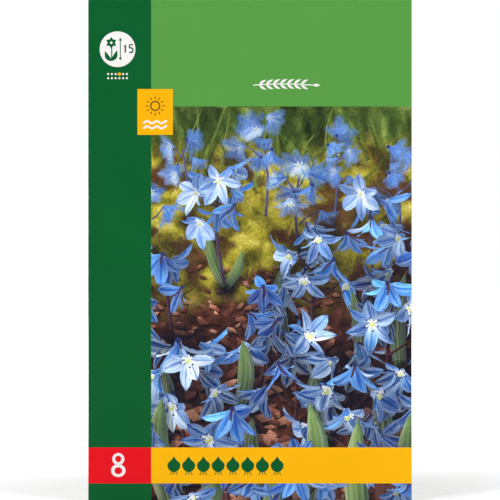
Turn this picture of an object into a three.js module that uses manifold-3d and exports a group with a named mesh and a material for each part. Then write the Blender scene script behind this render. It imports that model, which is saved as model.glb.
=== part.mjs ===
// A packet of siberian squill bulbs: a printed picture card whose top is folded down behind it as
// a flap, a clear punched film bag whose flat mouth is glued between the card and the flap, and the
// eight dry bulbs that the bag holds. The packet stands on the card's lower edge and on the flat
// underside of the filled bag.
//
// Millimetres, +Z up. The printed face looks along -Y. The origin is on the bag's flat underside,
// on the packet's centre line.

import * as THREE from "three";
import { mergeVertices } from "three/addons/utils/BufferGeometryUtils.js";
import Module from "manifold-3d";

const wasm = await Module();
wasm.setup();

// ---------------------------------------------------------------- driving dimensions

const CARD_WIDTH = 125;
const CARD_HEIGHT = 194;
const BOARD = 0.5; // thickness of the card
const CARD_BACK_Y = -18; // the back of the front panel
const FLAP_HEIGHT = 32;

const FILM = 0.4; // thickness of one layer of film
const GLUE = 0.2; // thickness of a glue strip, and of the gap that it fills
const BAG_HALF_WIDTH = 59;
const BAG_WAIST = 7; // how far the bulbs draw each side seal in
const BAG_WAIST_Z = 24;
const BAG_WAIST_SPREAD = 46;
const BAG_TOP = 184;
const BAG_SEAL = 4; // width of the flat welded band down each side
const BAG_FOOT_ROUNDING = 6; // radius where the underside turns up into the back

const VENT_RADIUS = 2.6; // the vents are punched through both layers of film
const VENT_SIDES = 10;
const VENT_COLUMNS = [-30, 0, 30];
const VENT_ROWS = [33, 61, 89, 117, 145];

const GLUE_WIDTH = 92;
const GLUE_HEIGHT = 8;
const GLUE_BOTTOM = 168;

// One bulb standing on its basal plate: [height, radius] from the plate's underside to the neck's
// tip, for a bulb 23 mm across.
const BULB_PROFILE = [
  [0, 3.6],
  [1.1, 6.2],
  [3.6, 9.2],
  [7.4, 11.1],
  [11, 11.5],
  [14.8, 10.6],
  [18.2, 8.2],
  [20.8, 5.2],
  [23.2, 2.7],
  [25.6, 1.5],
];
const BULB_TIP = 0.8; // the neck's blunt end beyond its last ring
const BULB_MIDDLE = 11; // height of the widest ring, which is where a bulb is placed and turned
const BULB_SIDES = 14;
const BULB_LOBES = 3;
const BULB_LOBE_DEPTH = 0.025;

// Where each bulb lies: x, distance behind the card, z, size, lean from upright and the heading of
// that lean, both in degrees. Five stand in a zigzag on the underside and three lie in the hollows.
const BULBS = [
  { x: -33, behind: 12.6, z: 11.9, size: 0.98, lean: 12, heading: 200 },
  { x: -16.2, behind: 28.6, z: 12.2, size: 1, lean: 20, heading: 95 },
  { x: 0, behind: 12.6, z: 11.8, size: 0.98, lean: 8, heading: 330 },
  { x: 16.2, behind: 28.4, z: 12, size: 0.97, lean: 28, heading: 60 },
  { x: 33, behind: 12.8, z: 12.2, size: 1, lean: 12, heading: 340 },
  { x: -27, behind: 17.5, z: 33.2, size: 0.97, lean: 64, heading: 150 },
  { x: 1, behind: 23.5, z: 30.9, size: 0.96, lean: 42, heading: 250 },
  { x: 27, behind: 17, z: 33.2, size: 0.95, lean: 74, heading: 25 },
];

// Spacing of the film's mesh.
const FILM_COLUMNS = 28;
const FILM_ROW = 3.8;
const FILM_TALL_ROW = 8;
const FILM_TALL_FROM = 62;
const FLAT_BELOW_FLAP = 2; // the film lies flat this far below the flap's edge
const FILM_CLEARANCE = 0.55; // between the film and the bulbs that it is stretched over
const RELAX_STEPS = 1500;
const FOOT_SHARES = [0, 0.13, 0.33, 0.6]; // heights of the foot's rows, as shares of its rounding

// ---------------------------------------------------------------- materials

const board = new THREE.MeshStandardMaterial({ color: 0x5ca049, roughness: 0.45, metalness: 0 });
const film = new THREE.MeshStandardMaterial({
  color: 0xe8eef0,
  roughness: 0.12,
  metalness: 0,
  transparent: true,
  opacity: 0.3,
});
const glue = new THREE.MeshStandardMaterial({ color: 0xe6dfc8, roughness: 0.4, metalness: 0 });
const tunic = new THREE.MeshStandardMaterial({ color: 0x5a3340, roughness: 0.6, metalness: 0 });

// ---------------------------------------------------------------- solids

// A closed geometry as a manifold-3d solid.
function toSolid(geometry) {
  const bare = new THREE.BufferGeometry();
  bare.setAttribute("position", geometry.getAttribute("position"));
  if (geometry.index) bare.setIndex(geometry.index);
  const merged = mergeVertices(bare, 1e-4);
  return new wasm.Manifold(
    new wasm.Mesh({
      numProp: 3,
      vertProperties: merged.getAttribute("position").array,
      triVerts: new Uint32Array(merged.index.array),
    }),
  );
}

function toGeometry(solid) {
  const mesh = solid.getMesh();
  const geometry = new THREE.BufferGeometry();
  geometry.setAttribute("position", new THREE.BufferAttribute(mesh.vertProperties, 3));
  geometry.setIndex(new THREE.BufferAttribute(mesh.triVerts, 1));
  geometry.computeVertexNormals();
  return geometry;
}

function block(low, high) {
  const [width, depth, height] = high.map((value, axis) => value - low[axis]);
  const geometry = new THREE.BoxGeometry(width, depth, height);
  return geometry.translate(low[0] + width / 2, low[1] + depth / 2, low[2] + height / 2);
}

// The solid between a surface given by a grid of points, rows going up, and a flat front at y = front.
function reliefSolid(rows, front) {
  const across = rows[0].length;
  const at = (row, column) => row * across + column;
  const lastRow = rows.length - 1;
  const lastColumn = across - 1;
  const faces = [];
  const quad = (a, b, c, d) => faces.push(a, b, c, a, c, d);
  for (let row = 0; row < lastRow; row++) {
    for (let column = 0; column < lastColumn; column++) {
      quad(at(row, column), at(row + 1, column), at(row + 1, column + 1), at(row, column + 1));
    }
  }
  const rim = [
    ...rows[0].map((_, column) => at(0, column)),
    ...rows.slice(1).map((_, row) => at(row + 1, lastColumn)),
    ...rows[0].slice(1).map((_, column) => at(lastRow, lastColumn - 1 - column)),
    ...rows.slice(1, -1).map((_, row) => at(lastRow - 1 - row, 0)),
  ];
  const points = rows.flat();
  const outline = rim.map((index) => new THREE.Vector2(points[index][0], points[index][2]));
  const behind = points.length;
  rim.forEach((index, i) => {
    const next = (i + 1) % rim.length;
    quad(index, rim[next], behind + next, behind + i);
  });
  for (const face of THREE.ShapeUtils.triangulateShape(outline, [])) {
    faces.push(...face.map((corner) => behind + corner));
  }
  const cap = outline.map(({ x, y }) => [x, front, y]);
  const geometry = new THREE.BufferGeometry();
  const positions = new Float32Array([...points, ...cap].flat());
  geometry.setAttribute("position", new THREE.BufferAttribute(positions, 3));
  geometry.setIndex(faces);
  return toSolid(geometry);
}

// ---------------------------------------------------------------- card

// The gap behind the panel that the flap closes: glue, the bag's two layers of film, glue.
const MOUTH_GAP = GLUE + 2 * FILM + GLUE;

function cardGeometry() {
  const frontY = CARD_BACK_Y - BOARD;
  const flapInnerY = CARD_BACK_Y + MOUTH_GAP;
  const flapOuterY = flapInnerY + BOARD;
  const foldRadius = (flapOuterY - frontY) / 2;
  const foldY = frontY + foldRadius;
  const foldZ = CARD_HEIGHT - foldRadius;
  const flapBottom = CARD_HEIGHT - FLAP_HEIGHT;
  const profile = new THREE.Shape();
  profile.moveTo(frontY, 0);
  profile.lineTo(CARD_BACK_Y, 0);
  profile.lineTo(CARD_BACK_Y, foldZ);
  profile.absarc(foldY, foldZ, foldRadius - BOARD, Math.PI, 0, true);
  profile.lineTo(flapInnerY, flapBottom);
  profile.lineTo(flapOuterY, flapBottom);
  profile.lineTo(flapOuterY, foldZ);
  profile.absarc(foldY, foldZ, foldRadius, 0, Math.PI, false);
  profile.closePath();
  const geometry = new THREE.ExtrudeGeometry(profile, {
    depth: CARD_WIDTH,
    bevelEnabled: false,
    curveSegments: 8,
  });
  // The shape's plane is (y, z) and it is drawn out along x.
  return geometry
    .translate(0, 0, -CARD_WIDTH / 2)
    .rotateX(Math.PI / 2)
    .rotateZ(Math.PI / 2);
}

// ---------------------------------------------------------------- bulbs

function bulbGeometry(size, lobeTurn) {
  const outline = BULB_PROFILE.map(([height, radius]) => new THREE.Vector2(radius, height - BULB_MIDDLE));
  const bottom = new THREE.Vector2(0, outline[0].y);
  const tip = new THREE.Vector2(0, outline.at(-1).y + BULB_TIP);
  const geometry = new THREE.LatheGeometry([bottom, ...outline, tip], BULB_SIDES);
  const position = geometry.getAttribute("position");
  for (let i = 0; i < position.count; i++) {
    const angle = Math.atan2(position.getZ(i), position.getX(i));
    const swell = 1 + BULB_LOBE_DEPTH * Math.cos(BULB_LOBES * angle + lobeTurn);
    position.setX(i, position.getX(i) * swell);
    position.setZ(i, position.getZ(i) * swell);
  }
  // A lathe turns about y, and a bulb stands along z.
  return geometry.rotateX(Math.PI / 2).scale(size, size, size);
}

// A bulb's own axis after it leans over towards its heading.
function bulbAxis({ lean, heading }) {
  const tilt = THREE.MathUtils.degToRad(lean);
  const turn = THREE.MathUtils.degToRad(heading);
  return new THREE.Vector3(Math.sin(tilt) * Math.cos(turn), Math.sin(tilt) * Math.sin(turn), Math.cos(tilt));
}

function bulbMesh(place, index) {
  const mesh = new THREE.Mesh(bulbGeometry(place.size, index), tunic);
  mesh.name = `bulb_${index + 1}`;
  mesh.position.set(place.x, CARD_BACK_Y + place.behind, place.z);
  mesh.quaternion.setFromUnitVectors(new THREE.Vector3(0, 0, 1), bulbAxis(place));
  return mesh;
}

// ---------------------------------------------------------------- bag

const FILM_INNER_Y = CARD_BACK_Y + GLUE + FILM; // the inner face of the front layer of film

function bagHalfWidth(z) {
  return BAG_HALF_WIDTH - BAG_WAIST * Math.exp(-(((z - BAG_WAIST_Z) / BAG_WAIST_SPREAD) ** 2));
}

// How far behind the front film the bulbs reach at (x, z), taking each bulb as a row of balls along
// its axis, or 0 where there is no bulb.
function bulbReachAt(x, z) {
  let reach = 0;
  for (const place of BULBS) {
    const axis = bulbAxis(place);
    for (const [height, radius] of BULB_PROFILE) {
      const along = (height - BULB_MIDDLE) * place.size;
      const swollen = radius * place.size * (1 + BULB_LOBE_DEPTH) + FILM_CLEARANCE;
      const dx = x - (place.x + axis.x * along);
      const dz = z - (place.z + axis.z * along);
      const left = swollen ** 2 - dx ** 2 - dz ** 2;
      if (left <= 0) continue;
      const centreY = CARD_BACK_Y + place.behind + axis.y * along;
      reach = Math.max(reach, centreY + Math.sqrt(left) - FILM_INNER_Y);
    }
  }
  return reach;
}

// The furthest reach within half a cell of (x, z), so that a flat facet of film clears the bulb too.
function bulbReach(x, z) {
  const nearby = [-FILM_ROW / 2, 0, FILM_ROW / 2];
  return Math.max(...nearby.flatMap((dx) => nearby.map((dz) => bulbReachAt(x + dx, z + dz))));
}

// The heights of the film mesh's rows above the rounded foot, closer together over the bulbs.
function filmRows() {
  const rows = [BAG_FOOT_ROUNDING];
  const top = CARD_HEIGHT - FLAP_HEIGHT - FLAT_BELOW_FLAP;
  while (rows.at(-1) < top) {
    rows.push(rows.at(-1) + (rows.at(-1) < FILM_TALL_FROM ? FILM_ROW : FILM_TALL_ROW));
  }
  rows[rows.length - 1] = top;
  return rows;
}

// Where the film mesh's columns lie, as shares of the bag's half width, with one cell to each seal.
function filmColumns() {
  const inner = 1 - BAG_SEAL / BAG_HALF_WIDTH;
  const between = Array.from({ length: FILM_COLUMNS + 1 }, (_, i) => inner * (-1 + (2 * i) / FILM_COLUMNS));
  return [-1, ...between, 1];
}

// The film as a taut skin: flat at its welded sides and under the flap, stretched over the bulbs,
// and everywhere else level with its neighbours. Gives a grid of depths behind the front film.
function tautDepths(columns, heights) {
  const reach = heights.map((z) => columns.map((share) => bulbReach(share * bagHalfWidth(z), z)));
  const depths = heights.map(() => columns.map(() => 0));
  for (let step = 0; step < RELAX_STEPS; step++) {
    for (let row = 0; row < heights.length - 1; row++) {
      for (let column = 2; column < columns.length - 2; column++) {
        const below = depths[Math.max(row - 1, 0)][column];
        const above = depths[row + 1][column];
        const level = (below + above + depths[row][column - 1] + depths[row][column + 1]) / 4;
        depths[row][column] = Math.max(level, reach[row][column]);
      }
    }
  }
  return depths;
}

// The back film's surface as rows of points: `thickness` outside the taut skin, or inside it where
// thickness is negative, and running in under the bulbs at the rounded foot.
function filmSurface(columns, heights, depths, thickness) {
  const narrower = 1 + thickness / BAG_HALF_WIDTH;
  const row = (z, depthOf) =>
    columns.map((share, column) => [
      share * narrower * bagHalfWidth(z),
      FILM_INNER_Y + thickness + depthOf(share, column),
      z,
    ]);
  const foot = FOOT_SHARES.map((share) => {
    const rise = share * BAG_FOOT_ROUNDING;
    const inset = BAG_FOOT_ROUNDING - Math.sqrt(BAG_FOOT_ROUNDING ** 2 - (BAG_FOOT_ROUNDING - rise) ** 2);
    const raised = rise - Math.min(thickness, 0) * (1 - share);
    return row(raised, (across, column) =>
      depths[0][column] && Math.max(depths[0][column] - inset, bulbReach(across * bagHalfWidth(rise), rise)),
    );
  });
  const back = heights.map((z, i) => row(z, (_, column) => depths[i][column]));
  return [...foot, ...back, row(BAG_TOP, () => 0)];
}

function bagGeometry() {
  const columns = filmColumns();
  const heights = filmRows();
  const depths = tautDepths(columns, heights);
  const frontY = CARD_BACK_Y + GLUE;
  const backY = FILM_INNER_Y + Math.max(...depths.flat()) + 2 * FILM;
  const outer = reliefSolid(filmSurface(columns, heights, depths, FILM), frontY);
  // The hollow ends where the two layers of film meet, at the seals and the mouth.
  const hollow = reliefSolid(filmSurface(columns, heights, depths, -FILM / 2), FILM_INNER_Y - FILM);
  const room = toSolid(block([-BAG_HALF_WIDTH, FILM_INNER_Y, FILM], [BAG_HALF_WIDTH, backY, BAG_TOP]));
  let bag = outer.subtract(hollow.intersect(room));
  const punchLength = backY - frontY + 2 * FILM;
  for (const x of VENT_COLUMNS) {
    for (const z of VENT_ROWS) {
      const punch = new THREE.CylinderGeometry(VENT_RADIUS, VENT_RADIUS, punchLength, VENT_SIDES);
      bag = bag.subtract(toSolid(punch.translate(x, (frontY + backY) / 2, z)));
    }
  }
  return toGeometry(bag);
}

// ---------------------------------------------------------------- packet

const packet = new THREE.Group();

function add(name, geometry, material) {
  const mesh = new THREE.Mesh(geometry, material);
  mesh.name = name;
  packet.add(mesh);
}

add("card", cardGeometry(), board);
add("bag", bagGeometry(), film);
for (const [name, frontY] of [
  ["glue_front", CARD_BACK_Y],
  ["glue_back", CARD_BACK_Y + GLUE + 2 * FILM],
]) {
  const low = [-GLUE_WIDTH / 2, frontY, GLUE_BOTTOM];
  const high = [GLUE_WIDTH / 2, frontY + GLUE, GLUE_BOTTOM + GLUE_HEIGHT];
  add(name, block(low, high), glue);
}
BULBS.forEach((place, index) => packet.add(bulbMesh(place, index)));

export default packet;
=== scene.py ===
"""A packet of siberian squill bulbs: the printed picture card, the clear film bag glued into its fold,
and the dry bulbs in the bag. Sizes are in millimetres until a mesh is made."""

import math
import random

import bpy
import numpy as np
from mathutils import Matrix, Vector, noise
from mathutils.bvhtree import BVHTree
from mathutils.geometry import delaunay_2d_cdt


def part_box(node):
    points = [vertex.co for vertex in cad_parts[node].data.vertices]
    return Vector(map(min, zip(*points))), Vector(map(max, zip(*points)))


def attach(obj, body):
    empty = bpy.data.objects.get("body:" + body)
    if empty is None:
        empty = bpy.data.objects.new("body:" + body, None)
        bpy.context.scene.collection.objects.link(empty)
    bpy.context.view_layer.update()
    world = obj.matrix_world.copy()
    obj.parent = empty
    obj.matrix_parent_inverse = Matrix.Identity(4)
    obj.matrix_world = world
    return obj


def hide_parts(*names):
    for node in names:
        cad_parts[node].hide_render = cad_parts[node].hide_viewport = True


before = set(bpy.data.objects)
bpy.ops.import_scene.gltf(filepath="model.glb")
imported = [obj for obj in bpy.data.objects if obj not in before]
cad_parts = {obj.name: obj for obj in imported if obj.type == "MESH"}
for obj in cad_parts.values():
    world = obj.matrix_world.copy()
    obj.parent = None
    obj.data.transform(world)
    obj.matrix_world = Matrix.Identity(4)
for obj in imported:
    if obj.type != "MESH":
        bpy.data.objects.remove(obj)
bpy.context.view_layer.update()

MM = 0.001
SEED = 7


def node_box(name):
    """Lowest and highest corner of a CAD node, in millimetres."""
    low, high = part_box(name)
    return [c / MM for c in low], [c / MM for c in high]


# ------------------------------------------------------------------ sizes that follow the frame

CARD_LOW, CARD_HIGH = node_box("card")
BOARD = 0.5
FRONT_Y = CARD_LOW[1]
FLAP_Y = CARD_HIGH[1]
CARD_TOP = CARD_HIGH[2]
HALF_CARD = CARD_HIGH[0]
FOLD_RADIUS = (FLAP_Y - FRONT_Y) / 2
FOLD_START = CARD_TOP - FOLD_RADIUS
FOLD_LENGTH = math.pi * FOLD_RADIUS
FLAP_HEIGHT = 32.0
FLAP_LENGTH = FLAP_HEIGHT - FOLD_RADIUS
SHEET_LENGTH = FOLD_START + FOLD_LENGTH + FLAP_LENGTH

# The printed layout, measured across from the card's middle and up from its lower edge.
COLUMN_EDGE = -38.2
PICTURE_TOP = 152.5
BAND_LOW = 6.8
BAND_HIGH = 20.7
TILE = (-43.5, 141.5, -29.8, 159.2)
DISC_CENTRE = (-51.2, 174.6)
DISC_RADIUS = 6.9


# ------------------------------------------------------------------ colours


def srgb(red, green, blue):
    """An 8-bit display colour as linear light."""
    channels = []
    for c in (red, green, blue):
        c /= 255
        channels.append(c / 12.92 if c <= 0.04045 else ((c + 0.055) / 1.055) ** 2.4)
    return np.array(channels)


DARK_GREEN = srgb(0, 91, 42)
LIGHT_GREEN = srgb(86, 153, 68)
WARM_YELLOW = srgb(254, 186, 0)
TILE_ORANGE = srgb(250, 178, 0)
SIGNAL_RED = srgb(232, 12, 28)
BARE_WHITE = srgb(240, 237, 235)
LINE_BROWN = srgb(96, 74, 30)


# ------------------------------------------------------------------ printing plate


class Shape:
    """One flat shape: its ink, its outline, and small triangles that carry its values.

    The values are red, green, blue, cover (1 hides what lies below), the place along and across the
    shape, a number of its own, and how much rib, vein and grain it shows. A plain shape has one
    colour and no triangles. A soft shape keeps all its cuts, so that its edges can fade.
    """

    VALUES = 10

    def __init__(self, ink, outline, points=None, triangles=(), values=None, soft=False):
        self.ink = ink
        self.soft = soft
        self.outline = np.array(outline, float)
        self.low, self.high = self.outline.min(axis=0), self.outline.max(axis=0)
        self.plain = points is None
        if self.plain:
            return
        corners = np.array([[(*points[i], 1.0) for i in triangle] for triangle in triangles])
        sound = abs(np.linalg.det(corners)) > 2e-3
        corners = corners[sound]
        held = np.array([[values[i] for i in triangle] for triangle in triangles])[sound]
        self.shares = np.linalg.inv(corners)
        self.values = np.linalg.solve(corners, held)

    def covers(self, places):
        """Which of the places the shape covers, and by which of its triangles."""
        if self.plain:
            return inside_outline(self.outline, places), None
        if not len(self.shares):
            return np.zeros(len(places), bool), None
        tall = np.column_stack([places, np.ones(len(places))])
        least = np.einsum("pi,mij->pmj", tall, self.shares).min(axis=2)
        best = least.argmax(axis=1)
        return least[np.arange(len(places)), best] > -1e-6, best


class Plate:
    """Flat shapes laid one over another, the last on top."""

    def __init__(self):
        self.shapes = []

    def shape(self, ink, outline):
        self.shapes.append(Shape(ink, outline))

    def facets(self, ink, outline, points, triangles, values, soft=False):
        made = Shape(ink, outline, points, triangles, values, soft)
        if len(made.shares):
            self.shapes.append(made)


def inside_outline(outline, places):
    """Whether each place lies inside an outline, by counting the edges to its right."""
    x, y = places[:, :1], places[:, 1:]
    ax, ay = outline[:, 0], outline[:, 1]
    bx, by = np.roll(ax, -1), np.roll(ay, -1)
    spans = (ay > y) != (by > y)
    rise = np.where(by == ay, 1, by - ay)
    crossing = ax + (y - ay) * (bx - ax) / rise
    return (spans & (x < crossing)).sum(axis=1) % 2 == 1


def circle(centre, radius, sides=40, squash=1.0):
    return [
        (centre[0] + radius * math.cos(t), centre[1] + squash * radius * math.sin(t))
        for t in np.linspace(0, 2 * math.pi, sides, endpoint=False)
    ]


def rectangle(left, low, right, high):
    return [(left, low), (right, low), (right, high), (left, high)]


def stroke(path, width):
    """The outline of a pen stroke along a path, with blunt ends."""
    path = np.array(path, float)
    ahead = np.gradient(path, axis=0)
    ahead /= np.linalg.norm(ahead, axis=1)[:, None]
    side = np.stack([-ahead[:, 1], ahead[:, 0]], axis=1) * width / 2
    return [tuple(p) for p in np.concatenate([path - side, (path + side)[::-1]])]


def leaf_outline(base, tip, width, bend=0.0, sides=8):
    """A pointed leaf from base to tip."""
    base, tip = np.array(base, float), np.array(tip, float)
    along = tip - base
    side = np.array([-along[1], along[0]]) / np.linalg.norm(along)
    share = np.linspace(0, 1, sides)[:, None]
    middle = base + along * share + side * bend * np.sin(math.pi * share)
    half = side * width / 2 * np.sin(math.pi * share**0.8)
    right, left = middle - half, middle + half
    return [tuple(p) for p in np.concatenate([right, left[1:-1][::-1]])]


def placed(outline, origin, scale=1.0, turned=False):
    """An outline moved to its place, and turned upside down where turned is true."""
    sign = -1 if turned else 1
    return [(origin[0] + sign * scale * x, origin[1] + sign * scale * y) for x, y in outline]


# ------------------------------------------------------------------ squill flowers for the picture

TEPAL_STATIONS = 7
SUN = np.array([-0.45, -0.45, 0.77])
# How fast red, green and blue fall off in the shade, so that a tepal's shade is a deeper blue.
SHADE_TINT = np.array([1.36, 1.1, 0.8])

FACE_HEART = srgb(236, 240, 252)
FACE_PALE = srgb(204, 224, 253)
FACE_BLUE = srgb(100, 158, 226)
FACE_DEEP = srgb(40, 96, 190)
BACK_BLUE = srgb(76, 146, 220)
BACK_DEEP = srgb(24, 76, 160)
HAZE_BLUE = srgb(104, 142, 212)
OVARY = srgb(206, 214, 132)
FILAMENT = srgb(232, 238, 246)
ANTHER = srgb(38, 52, 120)
STEM_DARK = srgb(58, 34, 44)
STEM_LIGHT = srgb(118, 76, 84)
SHADOW = srgb(12, 14, 30)


def turned_by(turn, nod):
    """Turns a flower that faces the reader: nod tips it down, and turn swings it about the upright."""
    return np.array(Matrix.Rotation(math.radians(turn), 3, "Z") @ Matrix.Rotation(math.radians(nod), 3, "X"))


def tepal_frame(angle, length, width, cup, spread, twist=0.0, sway=0.0):
    """A tepal's points, as stations along it by (left edge, rib, right edge), before the flower turns.

    cup and spread are the angles from the flower's axis at the tepal's base and tip, twist turns the
    blade about its rib, and sway bends it sideways.
    """
    along = np.linspace(0, 1, TEPAL_STATIONS)
    lean = np.radians(cup + (spread - cup) * along**0.8)[:, None]
    outward = np.array([math.cos(angle), 0, math.sin(angle)])
    forward = np.array([0, -1, 0])
    across = np.cross(outward, forward)
    steps = np.sin(lean) * outward + np.cos(lean) * forward + sway * along[:, None] * across
    middle = np.zeros((TEPAL_STATIONS, 3))
    middle[1:] = np.cumsum((steps[1:] + steps[:-1]) / 2, axis=0) * length / (TEPAL_STATIONS - 1)
    half = (width / 2 * np.maximum(np.abs(np.sin(math.pi * along**1.2)) ** 0.7, 0.34 * (1 - along)))[:, None]
    rise = np.cos(lean) * -outward + np.sin(lean) * forward
    roll = (twist * along)[:, None]
    side = across * np.cos(roll) + rise * np.sin(roll)
    lifted = (rise * np.cos(roll) - across * np.sin(roll)) * 0.24 * half
    return np.stack([middle - side * half + lifted, middle, middle + side * half + lifted], axis=1)


def lit(points):
    """Brightness at each point of a tepal, and whether its face is seen there."""
    along = np.gradient(points, axis=0)
    to_left = points[:, 0] - points[:, 1]
    to_right = points[:, 2] - points[:, 1]
    left = np.cross(along[:, 1], to_left)
    right = np.cross(to_right, along[:, 1])
    normals = np.stack([left, left + right, right], axis=1)
    normals /= np.linalg.norm(normals, axis=2)[:, :, None] + 1e-9
    seen = -normals[:, :, 1]
    facing = np.sign(seen)
    light = np.clip((normals * facing[:, :, None]) @ SUN, 0, 1)
    through = np.clip(-(normals * facing[:, :, None]) @ SUN, 0, 1)
    return 0.34 + 1.25 * light**1.5 + 0.5 * through, seen > 0


def mix(a, b, share):
    share = np.asarray(share)[..., None]
    return np.asarray(a) * (1 - share) + np.asarray(b) * share


def draw_tepal(plate, points, place, tone, haze, level, number):
    """Lays one turned tepal on the plate: tone deepens its blue, and level dims or brightens it."""
    light, face_seen = lit(points)
    along = np.linspace(0, 1, TEPAL_STATIONS)[:, None] * np.ones((1, 3))
    across = np.ones((TEPAL_STATIONS, 1)) * np.array([[-1, 0, 1]])
    face = ramp((FACE_PALE, FACE_BLUE, FACE_DEEP), np.clip(0.05 + 0.35 * along + 0.55 * tone, 0, 1))
    face = mix(FACE_HEART, face, np.clip(along * 2.6, 0, 1))
    back = mix(BACK_BLUE, BACK_DEEP, np.clip(0.6 - 0.5 * along + tone, 0, 1))
    face_share = float(face_seen.mean() > 0.5)
    colour = back * (1 - face_share) + face * face_share
    depth = (light * level * (0.7 + 0.3 * np.minimum(1, along * 3)))[..., None]
    shaded = colour * depth**SHADE_TINT
    colour = mix(shaded, HAZE_BLUE * (0.7 + 0.5 * light * level)[..., None], np.full(light.shape, haze))
    rib = np.full(light.shape, (1 - haze) * (0.85 if face_share else 0.7))
    vein = np.full(light.shape, 0.95 * (1 - 0.9 * haze))
    cover = np.ones(light.shape)
    flat = points[:, :, [0, 2]] + np.array(place)
    blurred = haze > 0.3
    if blurred:
        middle = flat[:, 1:2]
        flat = middle + (flat - middle) * 1.7
        cover = np.array([[0.0, 0.95, 0.0]]) * (1 - along**4)
    own = np.full(light.shape, number)
    values = np.stack(
        [*np.moveaxis(colour, 2, 0), cover, along, across, own, rib, vein, 0 * light], axis=2
    ).reshape(-1, Shape.VALUES)
    lay_strip(plate, flat, values, blurred)


def lay_strip(plate, rows, values, soft=False):
    """Lays a strip whose rows each have a left edge, a middle and a right edge."""
    triangles = []
    for row in range(len(rows) - 1):
        for column in range(2):
            a = row * 3 + column
            triangles += [(a, a + 1, a + 4), (a, a + 4, a + 3)]
    outline = np.concatenate([rows[:, 0], rows[::-1, 2]])
    plate.facets("picture_ink", outline, rows.reshape(-1, 2), triangles, values, soft)


def draw_patch(plate, outline, colour, cover=1.0, detail=(0, 0, 0)):
    """Lays a small plain patch of the picture."""
    points = np.array(outline)
    values = np.tile([*colour, cover, 0, 0, 0, *detail], (len(points), 1))
    fan = [(0, i, i + 1) for i in range(1, len(points) - 1)]
    plate.facets("picture_ink", points, points, fan, values)


def draw_ribbon(plate, path, widths, colours, detail, cover=1.0, soft=False, number=0.0):
    """Lays a stem or a leaf: a ribbon along a path, with a colour for each edge and its middle."""
    path = np.array(path, float)
    count = len(path)
    ahead = np.gradient(path, axis=0)
    ahead /= np.linalg.norm(ahead, axis=1)[:, None]
    side = np.stack([-ahead[:, 1], ahead[:, 0]], axis=1) * (np.asarray(widths) / 2)[:, None]
    rows = np.stack([path + side, path, path - side], axis=1)
    along = np.repeat(np.linspace(0, 1, count), 3)
    across = np.tile([-1, 0, 1], count)
    colour = np.asarray(colours).reshape(-1, 3)
    if len(colour) == 3:
        colour = np.tile(colour, (count, 1))
    covers = np.tile([0.0, cover, 0.0], count) if soft else np.full(count * 3, cover)
    own = np.full(count * 3, number)
    values = np.column_stack([colour, covers, along, across, own, np.tile(detail, (count * 3, 1))])
    lay_strip(plate, rows, values, soft)


def draw_flower(plate, place, radius, turn, nod, tone, haze, spread, level, rng):
    """Lays a six-tepalled flower that faces the reader, swung by turn and tipped by nod."""
    turning = turned_by(turn, nod)
    roll = rng.uniform(0, 60)
    tepals = []
    for k in range(6):
        inner = k % 2
        angle = math.radians(roll + 60 * k + rng.uniform(-11, 11))
        length = radius * rng.uniform(0.86, 1.12)
        width = radius * (0.47 if inner else 0.38) * rng.uniform(0.82, 1.1)
        tip = spread + rng.uniform(-30, 26) - (8 if inner else 0)
        points = tepal_frame(angle, length, width, 30, tip, rng.uniform(-1.0, 1.0), rng.uniform(-0.35, 0.35))
        points = points @ turning.T
        nearness = -points[2:, :, 1].mean()
        shade = tone + rng.uniform(-0.3, 0.3)
        bright = level * rng.uniform(0.78, 1.22)
        tepals.append((nearness, points, shade, bright, rng.uniform(0, 50)))
    tepals.sort(key=lambda item: item[0])
    towards = -(turning @ np.array([0, -1, 0]))[1]
    heart = (turning @ np.array([0, -0.26 * radius, 0]))[[0, 2]] + np.array(place)
    before = [t for t in tepals if towards < 0.5 and t[0] > 0.3 * radius]
    behind = [t for t in tepals if towards >= 0.5 or t[0] <= 0.3 * radius]
    if haze < 0.3:
        draw_shadow(plate, place, radius, 0.62 - 1.4 * haze)
    for _, points, shade, bright, own in behind:
        draw_tepal(plate, points, place, shade, haze, bright, own)
    if towards > -0.2:
        draw_heart(plate, heart, turning, place, radius, haze, level, rng)
    for _, points, shade, bright, own in before:
        draw_tepal(plate, points, place, shade, haze, bright, own)
    if towards < -0.2:
        draw_patch(plate, circle(place, 0.08 * radius, sides=7), mix(STEM_DARK, BACK_DEEP, 0.5))


def draw_shadow(plate, place, radius, depth, sides=10):
    """Darkens what lies under a flower, most in the middle and not at all at the rim."""
    middle = np.array(place) + np.array([0.08, -0.14]) * radius
    rim = np.array(circle(middle, 1.15 * radius, sides))
    points = np.concatenate([[middle], rim])
    values = np.tile([*SHADOW, 0.0, 0, 0, 0, 0, 0, 0], (sides + 1, 1))
    values[0, 3] = depth
    fan = [(0, i, i % sides + 1) for i in range(1, sides + 1)]
    plate.facets("picture_ink", rim, points, fan, values, soft=True)


def draw_heart(plate, heart, turning, place, radius, haze, level, rng):
    """Lays the ovary, the six flat filaments and their anthers."""
    place = np.array(place)
    pale = mix(FILAMENT * level, HAZE_BLUE, haze)
    for k in range(6):
        angle = math.radians(30 + 60 * k + rng.uniform(-16, 16))
        reach = 0.2 * radius * rng.uniform(0.8, 1.15)
        tip = (turning @ (np.array([math.cos(angle), -1.3, math.sin(angle)]) * reach))[[0, 2]] + place
        base = place + 0.4 * (heart - place)
        draw_patch(plate, stroke([base, tip], 0.045 * radius), pale)
        if haze < 0.2:
            draw_patch(plate, circle(tip, 0.032 * radius, sides=5), ANTHER)
    draw_patch(plate, circle(heart, 0.085 * radius, sides=8), mix(OVARY * level, HAZE_BLUE, haze))
    crown = heart + np.array([-0.02, 0.03]) * radius
    draw_patch(plate, circle(crown, 0.04 * radius, sides=6), mix(FILAMENT * level, HAZE_BLUE, haze))


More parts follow.
